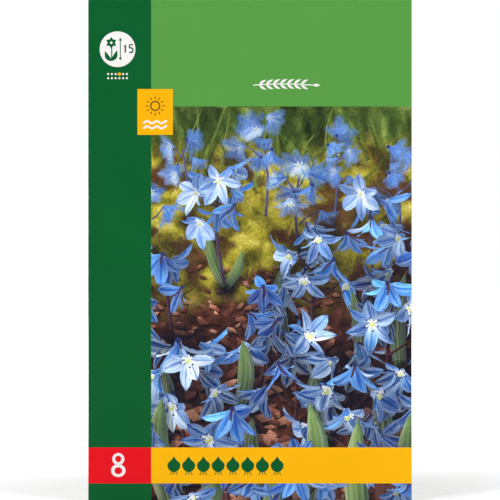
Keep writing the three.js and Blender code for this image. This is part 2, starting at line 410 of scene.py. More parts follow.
def arch(start, end, sag, steps=9):
    """A smooth path from start to end that bows sideways by sag."""
    start, end = np.array(start, float), np.array(end, float)
    ahead = end - start
    side = np.array([-ahead[1], ahead[0]]) / np.linalg.norm(ahead)
    share = np.linspace(0, 1, steps)[:, None]
    return start + ahead * share + side * sag * np.sin(math.pi * share)


def draw_stem(plate, start, end, sag=0.0, width=1.3, haze=0.0):
    path = arch(start, end, sag, steps=7)
    widths = np.linspace(width, 0.75 * width, len(path))
    colours = [mix(c, HAZE_BLUE, haze * 0.5) for c in (STEM_LIGHT, STEM_DARK * 1.2, STEM_DARK * 0.6)]
    draw_ribbon(plate, path, widths, colours, (0, 0, 0.4))


LEAF_LIGHT = srgb(196, 210, 138)
LEAF_MID = srgb(118, 152, 72)
LEAF_DARK = srgb(54, 88, 34)


def draw_leaf(plate, base, tip, width, sag=0.0, tone=0.0):
    """Lays a strap leaf with a hooded tip."""
    path = arch(base, tip, sag, steps=10)
    share = np.linspace(0, 1, len(path))
    widths = width * (0.72 + 0.28 * np.sin(math.pi * share)) * np.clip((1 - share**6) + 0.02, 0, 1)
    shadow = path + np.array([1.8, -1.2])
    draw_ribbon(plate, shadow, widths * 1.2, [SHADOW] * 3, (0, 0, 0), cover=0.55)
    light = mix(LEAF_LIGHT, LEAF_MID, np.clip(tone, 0, 1))
    dim = 1 - 0.45 * tone
    rows = [
        [light * (0.6 + 0.6 * s) * dim, LEAF_MID * (0.65 + 0.5 * s) * dim, LEAF_DARK * (0.7 + 0.7 * s) * dim]
        for s in share
    ]
    draw_ribbon(plate, path, widths, rows, (-0.45, 0.55, 0.1), number=10 * tone + base[0])
    draw_shadow(plate, base, 1.3 * width, 0.9)


# ------------------------------------------------------------------ the picture's ground

BARK = [srgb(44, 24, 20), srgb(92, 52, 42), srgb(140, 86, 68), srgb(196, 142, 118)]
MOSS = [srgb(58, 54, 22), srgb(116, 110, 36), srgb(182, 170, 54), srgb(226, 212, 112)]
GRASS = [srgb(28, 38, 20), srgb(58, 78, 36), srgb(98, 122, 54), srgb(150, 166, 88)]


def smooth(low, high, value):
    share = np.clip((np.asarray(value, float) - low) / (high - low), 0, 1)
    return share * share * (3 - 2 * share)


def cloud(x, y, size, octaves=3, height=0.0):
    """Soft noise between 0 and 1 at each point, with blots about size across."""
    values = [
        noise.fractal((a / size, b / size, height), 0.9, 2.0, octaves, noise_basis="PERLIN_NEW")
        for a, b in zip(x, y)
    ]
    return np.clip(0.5 + 0.62 * np.array(values), 0, 1)


def ramp(colours, share):
    """A colour between the stops, which are spaced evenly from 0 to 1."""
    stops = np.linspace(0, 1, len(colours))
    table = np.array(colours)
    return np.stack([np.interp(share, stops, table[:, channel]) for channel in range(3)], axis=-1)


def ground_colour(x, y):
    """The out-of-focus bed behind the flowers: bark below, moss in the middle, grass at the top."""
    wander = 22 * (cloud(x, y, 24, 3, 3.1) - 0.5)
    bark = ramp(BARK, 0.75 * cloud(x, y, 3.4, 4, 0.3) ** 1.7)
    moss = ramp(MOSS, cloud(x, y * 1.5, 8, 4, 1.7))
    hollow = smooth(0.5, 0.68, cloud(x, y * 1.7, 13, 3, 6.2) + 0.12 * smooth(10, 60, x))
    moss = mix(moss, ramp(BARK, 0.45 * cloud(x, y, 7, 3, 9.1)), 0.88 * hollow)
    grass = ramp(GRASS, cloud(x * 1.8 + 0.35 * y, y * 0.4, 7, 3, 4.4) ** 1.3)
    low = smooth(70, 92, y + wander)
    high = smooth(126, 143, y + 0.7 * wander)
    return mix(mix(bark, moss, low), grass, high)


# ------------------------------------------------------------------ turning the plate into one layer


class Layer:
    """The finished print: points, triangles that don't overlap, and an ink and values for each."""


def cut_facets(edges, loose):
    """Triangles between the edges and through the loose points, and their middles."""
    ends = [Vector(p) for p in edges.reshape(-1, 2)]
    pairs = [(2 * i, 2 * i + 1) for i in range(len(edges))]
    points, _, triangles, _, _, _ = delaunay_2d_cdt(
        ends + [Vector(p) for p in loose], pairs, [], 0, 1e-4, False
    )
    points, triangles = np.array([tuple(p) for p in points]), np.array(triangles)
    middle = points[triangles].mean(axis=1)
    kept = (abs(middle[:, 0]) < HALF_CARD) & (middle[:, 1] > 0) & (middle[:, 1] < SHEET_LENGTH)
    return points, triangles[kept], middle[kept]


def lay_inks(plate, points, triangles, middle):
    """Works out what shows in each facet, from the lowest shape to the highest."""
    layer = Layer()
    layer.points, layer.triangles = points, triangles
    corners = points[triangles]
    used = np.unique(triangles)
    near = used[(points[used, 0] > COLUMN_EDGE - 1) & (points[used, 1] < PICTURE_TOP + 1)]
    ground = np.zeros((len(points), 3))
    ground[near] = ground_colour(points[near, 0], points[near, 1])
    layer.colour = ground[triangles]
    layer.shape = np.concatenate([corners, np.zeros((len(triangles), 3, 1))], axis=2)
    layer.detail = np.zeros((len(triangles), 3, 3))
    layer.detail[:, :, 2] = 1
    layer.ink = np.full(len(triangles), "picture_ink", object)
    layer.look = np.zeros(len(triangles), np.int64)
    rising = np.argsort(middle[:, 1])
    heights = middle[rising, 1]
    for number, shape in enumerate(plate.shapes, start=1):
        first, last = np.searchsorted(heights, (shape.low[1], shape.high[1]))
        near = rising[first:last]
        near = near[(middle[near, 0] > shape.low[0]) & (middle[near, 0] < shape.high[0])]
        covered, by = shape.covers(middle[near])
        facets = near[covered]
        if not len(facets):
            continue
        if shape.plain:
            layer.ink[facets] = shape.ink
            layer.look[facets] = number
            continue
        tall = np.concatenate([corners[facets], np.ones((len(facets), 3, 1))], axis=2)
        here = np.einsum("fpi,fiv->fpv", tall, shape.values[by[covered]])
        cover = np.clip(here[:, :, 3:4], 0, 1)
        layer.colour[facets] = layer.colour[facets] * (1 - cover) + np.clip(here[:, :, :3], 0, 1) * cover
        solid = cover[:, 0, 0] > 0.6
        layer.shape[facets[solid]] = here[solid, :, 4:7]
        layer.detail[facets[solid]] = here[solid, :, 7:10]
        layer.look[facets[solid]] = number
        layer.look[facets[~solid]] = layer.look[facets[~solid]] * 4099 + number
        if shape.soft:
            layer.look[facets] = layer.look[facets] * 4099 + 7 * number + by[covered]
    return layer


STRAIGHT_SINE = 0.012  # of the turn at a point that an outline can do without


def seen_edges(layer):
    """The straight lines between facets that look different, with the hidden cuts taken out."""
    corners = layer.triangles
    pairs = np.concatenate([corners[:, [0, 1]], corners[:, [1, 2]], corners[:, [2, 0]]])
    look = np.tile(layer.look, 3)
    keys = np.sort(pairs, axis=1)
    keys = keys[:, 0] * len(layer.points) + keys[:, 1]
    order = np.argsort(keys, kind="stable")
    keys, look = keys[order], look[order]
    twin = np.append(keys[1:] == keys[:-1], False)
    second = np.append(False, twin[:-1])
    differs = twin & (look != np.append(look[1:], 0))
    alone = ~twin & ~second
    kept = keys[differs | alone]
    links = {}
    for key in kept:
        a, b = divmod(int(key), len(layer.points))
        links.setdefault(a, set()).add(b)
        links.setdefault(b, set()).add(a)
    for point in list(links):
        if len(links[point]) != 2:
            continue
        a, b = links[point]
        before, after = layer.points[point] - layer.points[a], layer.points[b] - layer.points[point]
        turn = before[0] * after[1] - before[1] * after[0]
        straight = abs(turn) < STRAIGHT_SINE * np.hypot(*before) * np.hypot(*after)
        if straight and before @ after > 0 and b not in links[a]:
            links[a].remove(point)
            links[b].remove(point)
            links[a].add(b)
            links[b].add(a)
            del links[point]
    return np.array([[layer.points[a], layer.points[b]] for a in links for b in links[a] if a < b])


def flatten(plate, lines, loose):
    """Cuts the plate's shapes along each other, then keeps only the cuts that show."""
    edges = [np.array(lines)]
    for shape in plate.shapes:
        edges.append(np.stack([shape.outline, np.roll(shape.outline, -1, axis=0)], axis=1))
    rough = lay_inks(plate, *cut_facets(np.concatenate(edges), []))
    fine = np.concatenate([np.array(lines), seen_edges(rough)])
    return lay_inks(plate, *cut_facets(fine, loose))


# ------------------------------------------------------------------ the picture: our own bed of squills

def draw_bed(plate, rng):
    """Blurred blades of grass at the top, and bark chips below, the far ones small."""
    for _ in range(46):
        root = (rng.uniform(-30, 66), rng.uniform(118, 132))
        tip = (root[0] + rng.uniform(-16, 16), root[1] + rng.uniform(14, 34))
        blade = ramp(GRASS, rng.uniform(0.1, 1.0))
        width = rng.uniform(1.2, 3.2)
        path = arch(root, tip, rng.uniform(-3, 3), 6)
        widths = width * (1.1 - np.linspace(0, 1, 6))
        draw_ribbon(plate, path, widths, [blade] * 3, (0, 0, 0.5), cover=rng.uniform(0.5, 0.95), soft=True)
    chips = sorted((rng.uniform(-4, 92) for _ in range(520)), reverse=True)
    for y in chips:
        size = (1.2 + 4.4 * (1 - y / 94)) * rng.uniform(0.5, 1.3)
        x = rng.uniform(-40, 64)
        turn = rng.uniform(-0.8, 0.8)
        sides = rng.choice((4, 5, 5, 6))
        outline = []
        for k in range(sides):
            angle = 2 * math.pi * (k + rng.uniform(-0.25, 0.25)) / sides
            reach = size * rng.uniform(0.75, 1.15)
            a, b = reach * math.cos(angle), 0.5 * reach * math.sin(angle)
            outline.append((a * math.cos(turn) - b * math.sin(turn), a * math.sin(turn) + b * math.cos(turn)))
        top = ramp(BARK, rng.uniform(0.2, 1.0)) * rng.uniform(0.75, 1.15)
        under = [(x + a + 0.2 * size, y + b - 0.34 * size) for a, b in outline]
        draw_patch(plate, under, BARK[0] * 0.4, cover=0.8)
        points = np.array([(x, y)] + [(x + a, y + b) for a, b in outline])
        shade = [1.25] + [1.25 + 1.2 * b / size for a, b in outline]
        values = np.array([[*(top * s), 0.95, a, b, 0, 0, 0, 1] for s, (a, b) in zip(shade, points)])
        fan = [(0, i, i % sides + 1) for i in range(1, sides + 1)]
        plate.facets("picture_ink", points[1:], points, fan, values)


# Each spray, from the back of the bed to the front: the foot and the top of its stem, the radius of
# its flowers, how many it has, how deep in the haze it stands, and how deep its blue is.
SPRAYS = [
    ((-24, 108), (-26, 139), 8.6, 6, 0.6, 0.0),
    ((6, 110), (4, 148), 9.0, 7, 0.56, -0.15),
    ((32, 106), (33, 141), 8.4, 6, 0.6, 0.0),
    ((58, 100), (56, 136), 9.0, 6, 0.58, 0.1),
    ((-40, 92), (-38, 124), 9.4, 4, 0.4, 0.1),
    ((19, 96), (19, 130), 10.0, 7, 0.36, 0.0),
    ((-10, 84), (-12, 129), 11.4, 8, 0.22, -0.25),
    ((48, 80), (46, 120), 11.2, 7, 0.24, 0.0),
    ((66, 60), (64, 106), 12.6, 6, 0.1, 0.15),
    ((-30, 64), (-35, 100), 12.0, 6, 0.08, 0.1),
    ((24, 58), (25, 106), 13.4, 9, 0.05, -0.2),
    ((4, 44), (6, 82), 12.4, 6, 0.05, 0.3),
    ((54, 40), (53, 86), 14.2, 9, 0.0, 0.1),
    ((16, 20), (17, 66), 14.0, 6, 0.0, 0.3),
    ((-24, 12), (-25, 64), 14.6, 9, 0.0, -0.2),
    ((62, 4), (62, 52), 14.0, 6, 0.0, 0.5),
    ((37, 0), (38, 56), 15.0, 9, 0.0, 0.0),
    ((-42, -8), (-42, 30), 13.6, 5, 0.0, 0.45),
    ((-8, -10), (-8, 34), 14.0, 7, 0.0, 0.4),
    ((56, -16), (58, 22), 13.8, 5, 0.0, 0.4),
    ((-24, -26), (-25, 10), 13.0, 4, 0.0, 0.5),
    ((18, -26), (20, 16), 13.6, 6, 0.0, 0.45),
]

# Strap leaves: foot, tip, width, bow, how dark, and the spray that each stands just behind.
LEAVES = [
    ((-10, 83), (-16, 104), 4.0, 1.5, 0.7, 6),
    ((-10, 82), (-3, 97), 3.8, -1.5, 0.6, 6),
    ((14, 62), (12, 90), 5.5, 2.0, 0.8, 10),
    ((58, 52), (60, 88), 6.5, 2.0, 0.5, 11),
    ((42, 50), (39, 82), 5.5, -2.0, 0.8, 11),
    ((-4, 36), (-3, 62), 6.5, -2.0, 0.7, 12),
    ((-36, 24), (-33, 52), 7.0, -2.0, 0.6, 13),
    ((29, 22), (26, 54), 7.5, 2.0, 0.6, 13),
    ((49, 12), (48, 44), 8.0, -3.0, 0.4, 14),
    ((3, 2), (1, 32), 8.5, 2.5, 0.3, 16),
    ((-30, -4), (-34, 40), 9.0, 3.5, 0.1, 17),
    ((24, -4), (23, 38), 8.6, -3.0, 0.2, 17),
    ((66, -10), (62, 34), 9.0, 3.0, 0.3, 18),
    ((-18, -16), (-15, 28), 8.4, -2.0, 0.15, 18),
    ((44, -18), (42, 32), 9.2, 2.0, 0.2, 19),
    ((6, -20), (8, 18), 8.0, -2.0, 0.3, 20),
]


def draw_spray(plate, foot, top, radius, count, haze, tone, rng):
    """A stem with its flowers all round its upper part, those behind it first."""
    foot, top = np.array(foot, float), np.array(top, float)
    draw_stem(plate, foot, top - np.array([0, 0.4 * radius]), rng.uniform(-2, 2), 0.11 * radius, haze)
    draw_shadow(plate, foot, 0.6 * radius, 0.85 - 0.5 * haze)
    flowers = []
    start = rng.uniform(0, 6.28)
    for k in range(count):
        low = k / max(count - 1, 1)
        heading = start + 2.4 * k
        side, near = math.sin(heading), math.cos(heading)
        place = top + radius * np.array([side * (0.3 + 0.6 * low), rng.uniform(-0.15, 0.15) - 1.7 * low])
        flowers.append((near, low, side, place))
    flowers.sort(key=lambda item: item[0])
    for near, low, side, place in flowers:
        turn = math.degrees(math.atan2(side, near + 0.55)) + rng.uniform(-24, 24)
        nod = 8 + 40 * low + rng.uniform(-26, 32)
        spread = rng.uniform(58, 104)
        level = (1.0 + 0.26 * near - 0.16 * low) * rng.uniform(0.8, 1.3)
        shade = tone + rng.uniform(-0.35, 0.3)
        joint = np.array((top[0], place[1] - 0.55 * radius))
        away = rng.random() < 0.3 + 0.4 * max(tone, 0)
        if away:
            nod, spread = rng.uniform(104, 150), rng.uniform(60, 88)
        elif near < 0.3:
            draw_stem(plate, joint, place, rng.uniform(-1, 1), 0.07 * radius, haze)
        reach = radius * rng.uniform(0.84, 1.08)
        draw_flower(plate, place, reach, turn, nod, shade, haze, spread, level, rng)
        if away and haze < 0.3:
            end = place + 0.6 * (joint - place)
            draw_stem(plate, place, end, rng.uniform(-0.06, 0.06) * radius, 0.06 * radius, haze)


def draw_picture(plate):
    rng = random.Random(SEED)
    draw_bed(plate, rng)
    for number, (foot, top, radius, count, haze, tone) in enumerate(SPRAYS):
        for base, tip, width, bow, dark, before in LEAVES:
            if before == number:
                draw_leaf(plate, base, tip, width, bow, dark)
        draw_spray(plate, foot, top, radius, count, haze, tone, rng)


# ------------------------------------------------------------------ the plain print round the picture


def draw_eight(plate, centre, ink, counter_ink):
    """The figure 8, as a small ring on a larger one."""
    x, y = centre
    for dy, across, tall in ((2.3, 2.35, 2.35), (-2.15, 2.8, 2.5)):
        plate.shape(ink, circle((x, y + dy), across, 32, tall / across))
    for dy, across, tall in ((2.35, 1.2, 1.25), (-2.2, 1.5, 1.35)):
        plate.shape(counter_ink, circle((x, y + dy), across, 24, tall / across))


FIVE_BOWL = [(0.45 + 0.55 * math.cos(t), 0.62 + 0.62 * math.sin(t)) for t in np.linspace(1.9, -2.3, 12)]
DIGIT_STROKES = {
    "0": [[(0.5 + 0.5 * math.cos(t), 1 + math.sin(t)) for t in np.linspace(0, 2 * math.pi, 17)]],
    "1": [[(0.15, 1.6), (0.55, 2.0), (0.55, 0.0)]],
    "5": [[(1.0, 2.0), (0.15, 2.0), (0.1, 1.15)], [(0.1, 1.15)] + FIVE_BOWL],
}


def draw_number(plate, ink, digits, corner, height, turned=False, weight=0.16):
    """Plain figures, from the lower left corner of the first one."""
    scale = height / 2
    for place, digit in enumerate(digits):
        for path in DIGIT_STROKES[digit]:
            path = [(x + 1.5 * place, y) for x, y in path]
            plate.shape(ink, placed(stroke(path, weight * 2), corner, scale, turned))


def draw_arrow(plate, ink, start, end, width):
    """A double-headed arrow."""
    start, end = np.array(start, float), np.array(end, float)
    ahead = (end - start) / np.linalg.norm(end - start)
    side = np.array([-ahead[1], ahead[0]])
    head = 3.4 * width
    plate.shape(ink, stroke([start + ahead * head, end - ahead * head], width))
    for tip, way in ((start, 1), (end, -1)):
        back = tip + way * ahead * head
        plate.shape(ink, [tuple(tip), tuple(back + side * head * 0.55), tuple(back - side * head * 0.55)])


def draw_bulb_sign(plate, ink, centre, size, turned=False):
    """A bulb in outline: a round body that draws up to a neck, with a short shoot and three roots."""
    angles = np.linspace(0, 2.62, 14)
    body = [(0.5 * math.sin(t) * (1 - 0.12 * math.cos(t)), -0.46 * math.cos(t)) for t in angles]
    half = body + [(0.09, 0.62), (0.0, 0.78)]
    outline = half + [(-x, y) for x, y in half[-2:0:-1]]
    plate.shape(ink, placed(outline, centre, size, turned))
    for lean in (-0.22, 0, 0.22):
        root = stroke([(lean * 0.6, -0.44), (lean * 1.3, -0.68)], 0.07)
        plate.shape(ink, placed(root, centre, size, turned))


def draw_sun(plate, ink, centre, radius, rays=12, turned=False):
    plate.shape(ink, circle(centre, radius, 24))
    for k in range(rays):
        t = 2 * math.pi * k / rays
        ray = stroke([(1.3 * math.cos(t), 1.3 * math.sin(t)), (1.85 * math.cos(t), 1.85 * math.sin(t))], 0.2)
        plate.shape(ink, placed(ray, centre, radius, turned))


def draw_disc_sign(plate):
    """The white disc: a flower with two leaves, and the height that it grows to."""
    ink = "dark_green_ink"
    x, y = DISC_CENTRE
    plate.shape("white_ink", circle(DISC_CENTRE, DISC_RADIUS, 64))
    flower, foot = (x - 2.4, y + 2.5), (x - 2.4, y - 4.6)
    for k in range(6):
        t = math.pi / 2 + 2 * math.pi * k / 6
        tip = (flower[0] + 2.2 * math.cos(t), flower[1] + 2.2 * math.sin(t))
        plate.shape(ink, leaf_outline(flower, tip, 1.5, sides=7))
    plate.shape("white_ink", circle(flower, 0.5, 14))
    plate.shape(ink, stroke(arch(flower, foot, 0.2, 6)[1:], 0.44))
    plate.shape("white_ink", circle(flower, 0.5, 14))
    plate.shape(ink, leaf_outline(foot, (x - 4.8, y - 0.6), 1.7, 0.5))
    plate.shape(ink, leaf_outline(foot, (x - 0.2, y - 0.3), 1.7, -0.5))
    draw_arrow(plate, ink, (x + 1.1, y - 4.4), (x + 1.1, y + 4.5), 0.34)
    draw_number(plate, ink, "15", (x + 2.2, y - 1.3), 3.0, weight=0.2)


MONTHS = 12
FLOWERING_MONTH = 3  # April, counted from 0
FLOWERING_DOT, MONTH_DOT = ("yellow_ink", 0.62), ("white_ink", 0.4)  # ink and radius


def draw_month_dots(plate):
    """Twelve dots in two rows, one for each month, with the flowering month picked out."""
    for month in range(MONTHS):
        x = DISC_CENTRE[0] + (month % 6 - 2.5) * 1.45
        y = DISC_CENTRE[1] - 9.6 - 1.6 * (month // 6)
        ink, radius = FLOWERING_DOT if month == FLOWERING_MONTH else MONTH_DOT
        plate.shape(ink, circle((x, y), radius, 16))


FURROW_ROWS = (4.9, 2.9)  # above the tile's lower edge


def draw_tile(plate):
    """The orange tile: a sun over two furrows."""
    left, low, right, _ = TILE
    middle = (left + right) / 2
    plate.shape("orange_ink", rectangle(*TILE))
    draw_sun(plate, "brown_ink", (middle, low + 11.2), 2.0)
    plate.shape("orange_ink", circle((middle, low + 11.2), 1.45, 24))
    for row in FURROW_ROWS:
        wave = [(x, low + row + 0.45 * math.sin(1.7 * x)) for x in np.linspace(left + 2.2, right - 2.2, 25)]
        plate.shape("white_ink", stroke(wave, 0.75))


def draw_header_sprig(plate):
    """A small white sprig lying along the green header."""
    start, end = np.array([1.2, 160.7]), np.array([24.6, 160.7])
    plate.shape("white_ink", stroke(arch(start, end, 0.5, 12), 0.4))
    for k in range(7):
        share = 0.1 + 0.115 * k
        foot = start + (end - start) * share + np.array([0, 0.5 * math.sin(math.pi * share)])
        for way in (1, -1):
            plate.shape("white_ink", leaf_outline(foot, foot + np.array([2.9, 1.9 * way]), 0.95, 0.25 * way))
    plate.shape("white_ink", leaf_outline(end - np.array([0.3, 0]), end + np.array([2.6, 0.0]), 1.1))


def draw_band_ornament(plate):
    """A row of bulbs along the yellow band, one for each bulb in the bag."""
    y = (BAND_LOW + BAND_HIGH) / 2
    for k in range(8):
        draw_bulb_sign(plate, "dark_green_ink", (-29.4 + 5.7 * k, y - 0.3), 5.0)


def draw_flap(plate):
    """The planting signs on the flap, which is read from behind, so they stand upside down here."""
    middle = FOLD_START + FOLD_LENGTH + FLAP_LENGTH / 2
    ink = "white_ink"
    for across in (-20.0, 12.0, 44.0):
        plate.shape(ink, circle((across, middle), 9.6, 56))
        plate.shape("light_green_ink", circle((across, middle), 9.1, 56))
    # how deep: a bulb under the ground's line, with the depth beside it
    x = 44.0
    plate.shape(ink, placed(stroke([(-7.2, 3.2), (7.2, 3.2)], 0.5), (x, middle), turned=True))
    draw_bulb_sign(plate, ink, (x + 2.4, middle + 3.6), 4.6, turned=True)
    draw_arrow(plate, ink, (x - 1.4, middle - 3.0), (x - 1.4, middle + 5.6), 0.45)
    draw_number(plate, ink, "10", (x - 2.8, middle + 2.4), 3.0, turned=True)
    # how far apart: two bulbs and the distance between them
    x = 12.0
    for side in (-4.4, 4.4):
        draw_bulb_sign(plate, ink, (x + side, middle + 0.2), 4.8, turned=True)
    draw_arrow(plate, ink, (x - 4.4, middle + 4.9), (x + 4.4, middle + 4.9), 0.45)
    draw_number(plate, ink, "5", (x + 0.8, middle - 2.4), 3.0, turned=True)
    # where: full sun
    draw_sun(plate, ink, (-20.0, middle), 3.4)


def draw_layout(plate):
    beyond = 2.0
    left, right, top = -HALF_CARD - beyond, HALF_CARD + beyond, SHEET_LENGTH + beyond
    plate.shape("yellow_ink", rectangle(COLUMN_EDGE, BAND_LOW, right, BAND_HIGH))
    plate.shape("light_green_ink", rectangle(COLUMN_EDGE, PICTURE_TOP, right, top))
    plate.shape("dark_green_ink", rectangle(left, -beyond, COLUMN_EDGE, top))
    plate.shape("red_ink", rectangle(left, BAND_LOW, COLUMN_EDGE, BAND_HIGH))
    draw_eight(plate, (-50.9, 13.9), "white_ink", "red_ink")
    draw_disc_sign(plate)
    draw_month_dots(plate)
    draw_tile(plate)
    draw_header_sprig(plate)
    draw_band_ornament(plate)
    draw_flap(plate)


# ------------------------------------------------------------------ shader building


class Tree:
    """Short words for building a node tree."""

    def __init__(self, tree):
        self.tree = tree

    def node(self, kind, settings=None, **inputs):
        made = self.tree.nodes.new(kind)
        for key, value in (settings or {}).items():
            setattr(made, key, value)
        for key, value in inputs.items():
            self.set(made, key.replace("_", " "), value)
        return made

    def set(self, node, socket, value):
        target = node.inputs[socket]
        if isinstance(value, bpy.types.NodeSocket):
            self.tree.links.new(value, target)
        else:
            target.default_value = value

    def math(self, operation, *values, clamp=False):
        made = self.node("ShaderNodeMath", {"operation": operation, "use_clamp": clamp})
        for i, value in enumerate(values):
            self.set(made, i, value)
        return made.outputs[0]

    def plus(self, first, second, clamp=False):
        return self.math("ADD", first, second, clamp=clamp)

    def minus(self, first, second):
        return self.math("SUBTRACT", first, second)

    def times(self, first, second):
        return self.math("MULTIPLY", first, second)

    def scaled(self, vector, amount):
        made = self.node("ShaderNodeVectorMath", {"operation": "SCALE"})
        self.set(made, 0, vector)
        self.set(made, "Scale", amount)
        return made.outputs[0]

    def vector(self, x, y, z):
        made = self.node("ShaderNodeCombineXYZ")
        for i, value in enumerate((x, y, z)):
            self.set(made, i, value)
        return made.outputs[0]

    def parts(self, vector):
        made = self.node("ShaderNodeSeparateXYZ")
        self.set(made, 0, vector)
        return [made.outputs[axis] for axis in "XYZ"]

    def attribute(self, name, output="Vector"):
        return self.node("ShaderNodeAttribute", {"attribute_name": name}).outputs[output]

    def blend(self, share, first, second, how="MIX"):
        made = self.node("ShaderNodeMix", {"data_type": "RGBA", "blend_type": how})
        self.set(made, 0, share)
        self.set(made, 6, first)
        self.set(made, 7, second)
        return made.outputs[2]

    def noise(self, where, scale, detail=2.0, rough=0.5):
        made = self.node("ShaderNodeTexNoise", Scale=scale, Detail=detail, Roughness=rough)
        self.set(made, "Vector", where)
        return made.outputs["Fac"]

    def range(self, value, low, high, to_low=0.0, to_high=1.0):
        made = self.node("ShaderNodeMapRange", {"clamp": True})
        for i, v in enumerate((value, low, high, to_low, to_high)):
            self.set(made, i, v)
        return made.outputs[0]

    def bump(self, height, strength, distance):
        made = self.node("ShaderNodeBump", Strength=strength, Distance=distance, Height=height)
        return made.outputs["Normal"]

    def object_place(self):
        return self.node("ShaderNodeTexCoord").outputs["Object"]


def colour4(colour):
    return (*[float(c) for c in colour], 1.0)


def new_group(name, inputs, outputs):
    """A shader node group with named sockets; gives its tree and its input and output nodes."""
    tree = bpy.data.node_groups.new(name, "ShaderNodeTree")
    for way, sockets in (("INPUT", inputs), ("OUTPUT", outputs)):
        for socket, kind in sockets.items():
            tree.interface.new_socket(socket, in_out=way, socket_type=f"NodeSocket{kind}")
    return tree, tree.nodes.new("NodeGroupInput"), tree.nodes.new("NodeGroupOutput")


def use_group(tree, group, **inputs):
    made = tree.node("ShaderNodeGroup", {"node_tree": group})
    for key, value in inputs.items():
        tree.set(made, key.replace("_", " "), value)
    return made


def new_material(name):
    """A material with a Principled shader; gives it, its tree and the shader."""
    material = bpy.data.materials.new(name)
    material.use_nodes = True
    tree = Tree(material.node_tree)
    shader = material.node_tree.nodes["Principled BSDF"]
    return material, tree, shader


# ------------------------------------------------------------------ board and ink


def build_press_group():
    """Printed board: ink that mottles a little, rubs thin at the card's edges, and lies on fibre."""
    tree, entry, out = new_group(
        "printed board",
        {"Ink": "Color", "Board": "Color", "Mottle": "Float"},
        {"Colour": "Color", "Roughness": "Float", "Height": "Float"},
    )
    t = Tree(tree)
    place = t.object_place()
    fibre = t.noise(place, 2600.0, 3.0)
    cloudy = t.noise(place, 60.0, 4.0)
    swing = t.times(t.minus(cloudy, 0.5), entry.outputs["Mottle"])
    inked = t.scaled(entry.outputs["Ink"], t.plus(1.0, swing))
    x, _, to_foot = t.parts(place)
    to_side = t.minus(HALF_CARD * MM, t.math("ABSOLUTE", x))
    to_top = t.minus(CARD_TOP * MM, to_foot)
    nearest = t.math("MINIMUM", t.math("MINIMUM", to_side, to_foot), to_top)
    ragged = t.noise(place, 900.0, 4.0, 0.7)
    reach = t.range(ragged, 0.5, 0.8, 0.0, 0.00035)
    rubbed = t.times(t.range(t.minus(reach, nearest), -0.00002, 0.0001), 0.5)
    t.set(out, "Colour", t.blend(rubbed, inked, entry.outputs["Board"]))
    t.set(out, "Roughness", t.plus(0.3, t.times(0.16, cloudy)))
    t.set(out, "Height", fibre)
    return tree


def print_with(t, shader, press, ink, mottle):
    """The satin surface that every ink on the card shares."""
    ground = use_group(t, press, Ink=ink, Board=colour4(BARE_WHITE), Mottle=mottle)
    t.set(shader, "Base Color", ground.outputs["Colour"])
    t.set(shader, "Roughness", ground.outputs["Roughness"])
    t.set(shader, "Normal", t.bump(ground.outputs["Height"], 0.12, 0.00002))
    shader.inputs["Specular IOR Level"].default_value = 0.12
    shader.inputs["Coat Weight"].default_value = 0.04
    shader.inputs["Coat Roughness"].default_value = 0.2


def printed(press, name, ink):
    """A material for one flat ink."""
    material, t, shader = new_material(name)
    print_with(t, shader, press, colour4(ink), 0.05)
    return material


def picture_material(press):
    """The picture's ink: the colour of each facet, with the ribs and veins of petals and leaves."""
    material, t, shader = new_material("picture_ink")
    ink = t.attribute("ink", "Color")
    along, over, own = t.parts(t.attribute("shape"))
    rib, vein, grit = t.parts(t.attribute("detail"))

    def band(centre, width):
        off = t.math("DIVIDE", t.minus(t.math("ABSOLUTE", over), centre), width)
        return t.math("POWER", 2.718, t.times(-1.0, t.times(off, off)))  # a soft bell

    strands = t.vector(t.times(over, 4.2), t.times(along, 1.1), t.times(own, 1.7))
    strand = t.noise(strands, 1.0, 3.0, 0.6)
    wash = t.vector(t.times(over, 0.9), t.times(along, 1.6), t.plus(own, 30.0))
    cloudy = t.noise(wash, 1.0, 1.0, 0.5)
    sheen = t.times(t.range(strand, 0.36, 0.68, 0.0, 0.85), t.range(cloudy, 0.3, 0.62, 1.0, 0.4))
    flank = t.times(t.times(band(0.5, 0.28), vein), sheen)
    shaded = t.times(t.range(cloudy, 0.42, 0.7), t.times(vein, 0.65))
    washed = t.blend(shaded, ink, t.blend(1.0, ink, colour4((0.26, 0.5, 0.86)), "MULTIPLY"))
    lifted = t.blend(flank, washed, t.blend(1.0, washed, colour4((0.5, 0.56, 0.56)), "ADD"))
    dark = t.times(band(0.0, 0.12), t.math("MAXIMUM", rib, 0.0))
    light = t.times(band(0.0, 0.12), t.math("MAXIMUM", t.times(rib, -1.0), 0.0))
    ribbed = t.blend(dark, lifted, t.blend(1.0, lifted, colour4((0.2, 0.36, 0.72)), "MULTIPLY"))
    ribbed = t.blend(t.times(light, 0.5), ribbed, colour4(srgb(196, 214, 170)))
    thin = t.times(t.range(strand, 0.5, 0.34, 0.0, 0.75), vein)
    veined = t.blend(thin, ribbed, t.blend(1.0, ribbed, colour4((0.24, 0.5, 0.88)), "MULTIPLY"))
    margin = t.times(t.times(t.range(t.math("ABSOLUTE", over), 0.7, 1.0), vein), 0.5)
    edged = t.blend(margin, veined, t.blend(1.0, veined, colour4((0.24, 0.3, 0.34)), "ADD"))
    grain = t.noise(t.object_place(), 1100.0, 4.0, 0.65)
    level = t.range(grain, 0.25, 0.75, 0.45, 1.65)
    rough = t.times(grit, 0.8)
    level = t.plus(t.times(level, rough), t.minus(1.0, rough))
    print_with(t, shader, press, t.scaled(edged, level), 0.04)
    return material


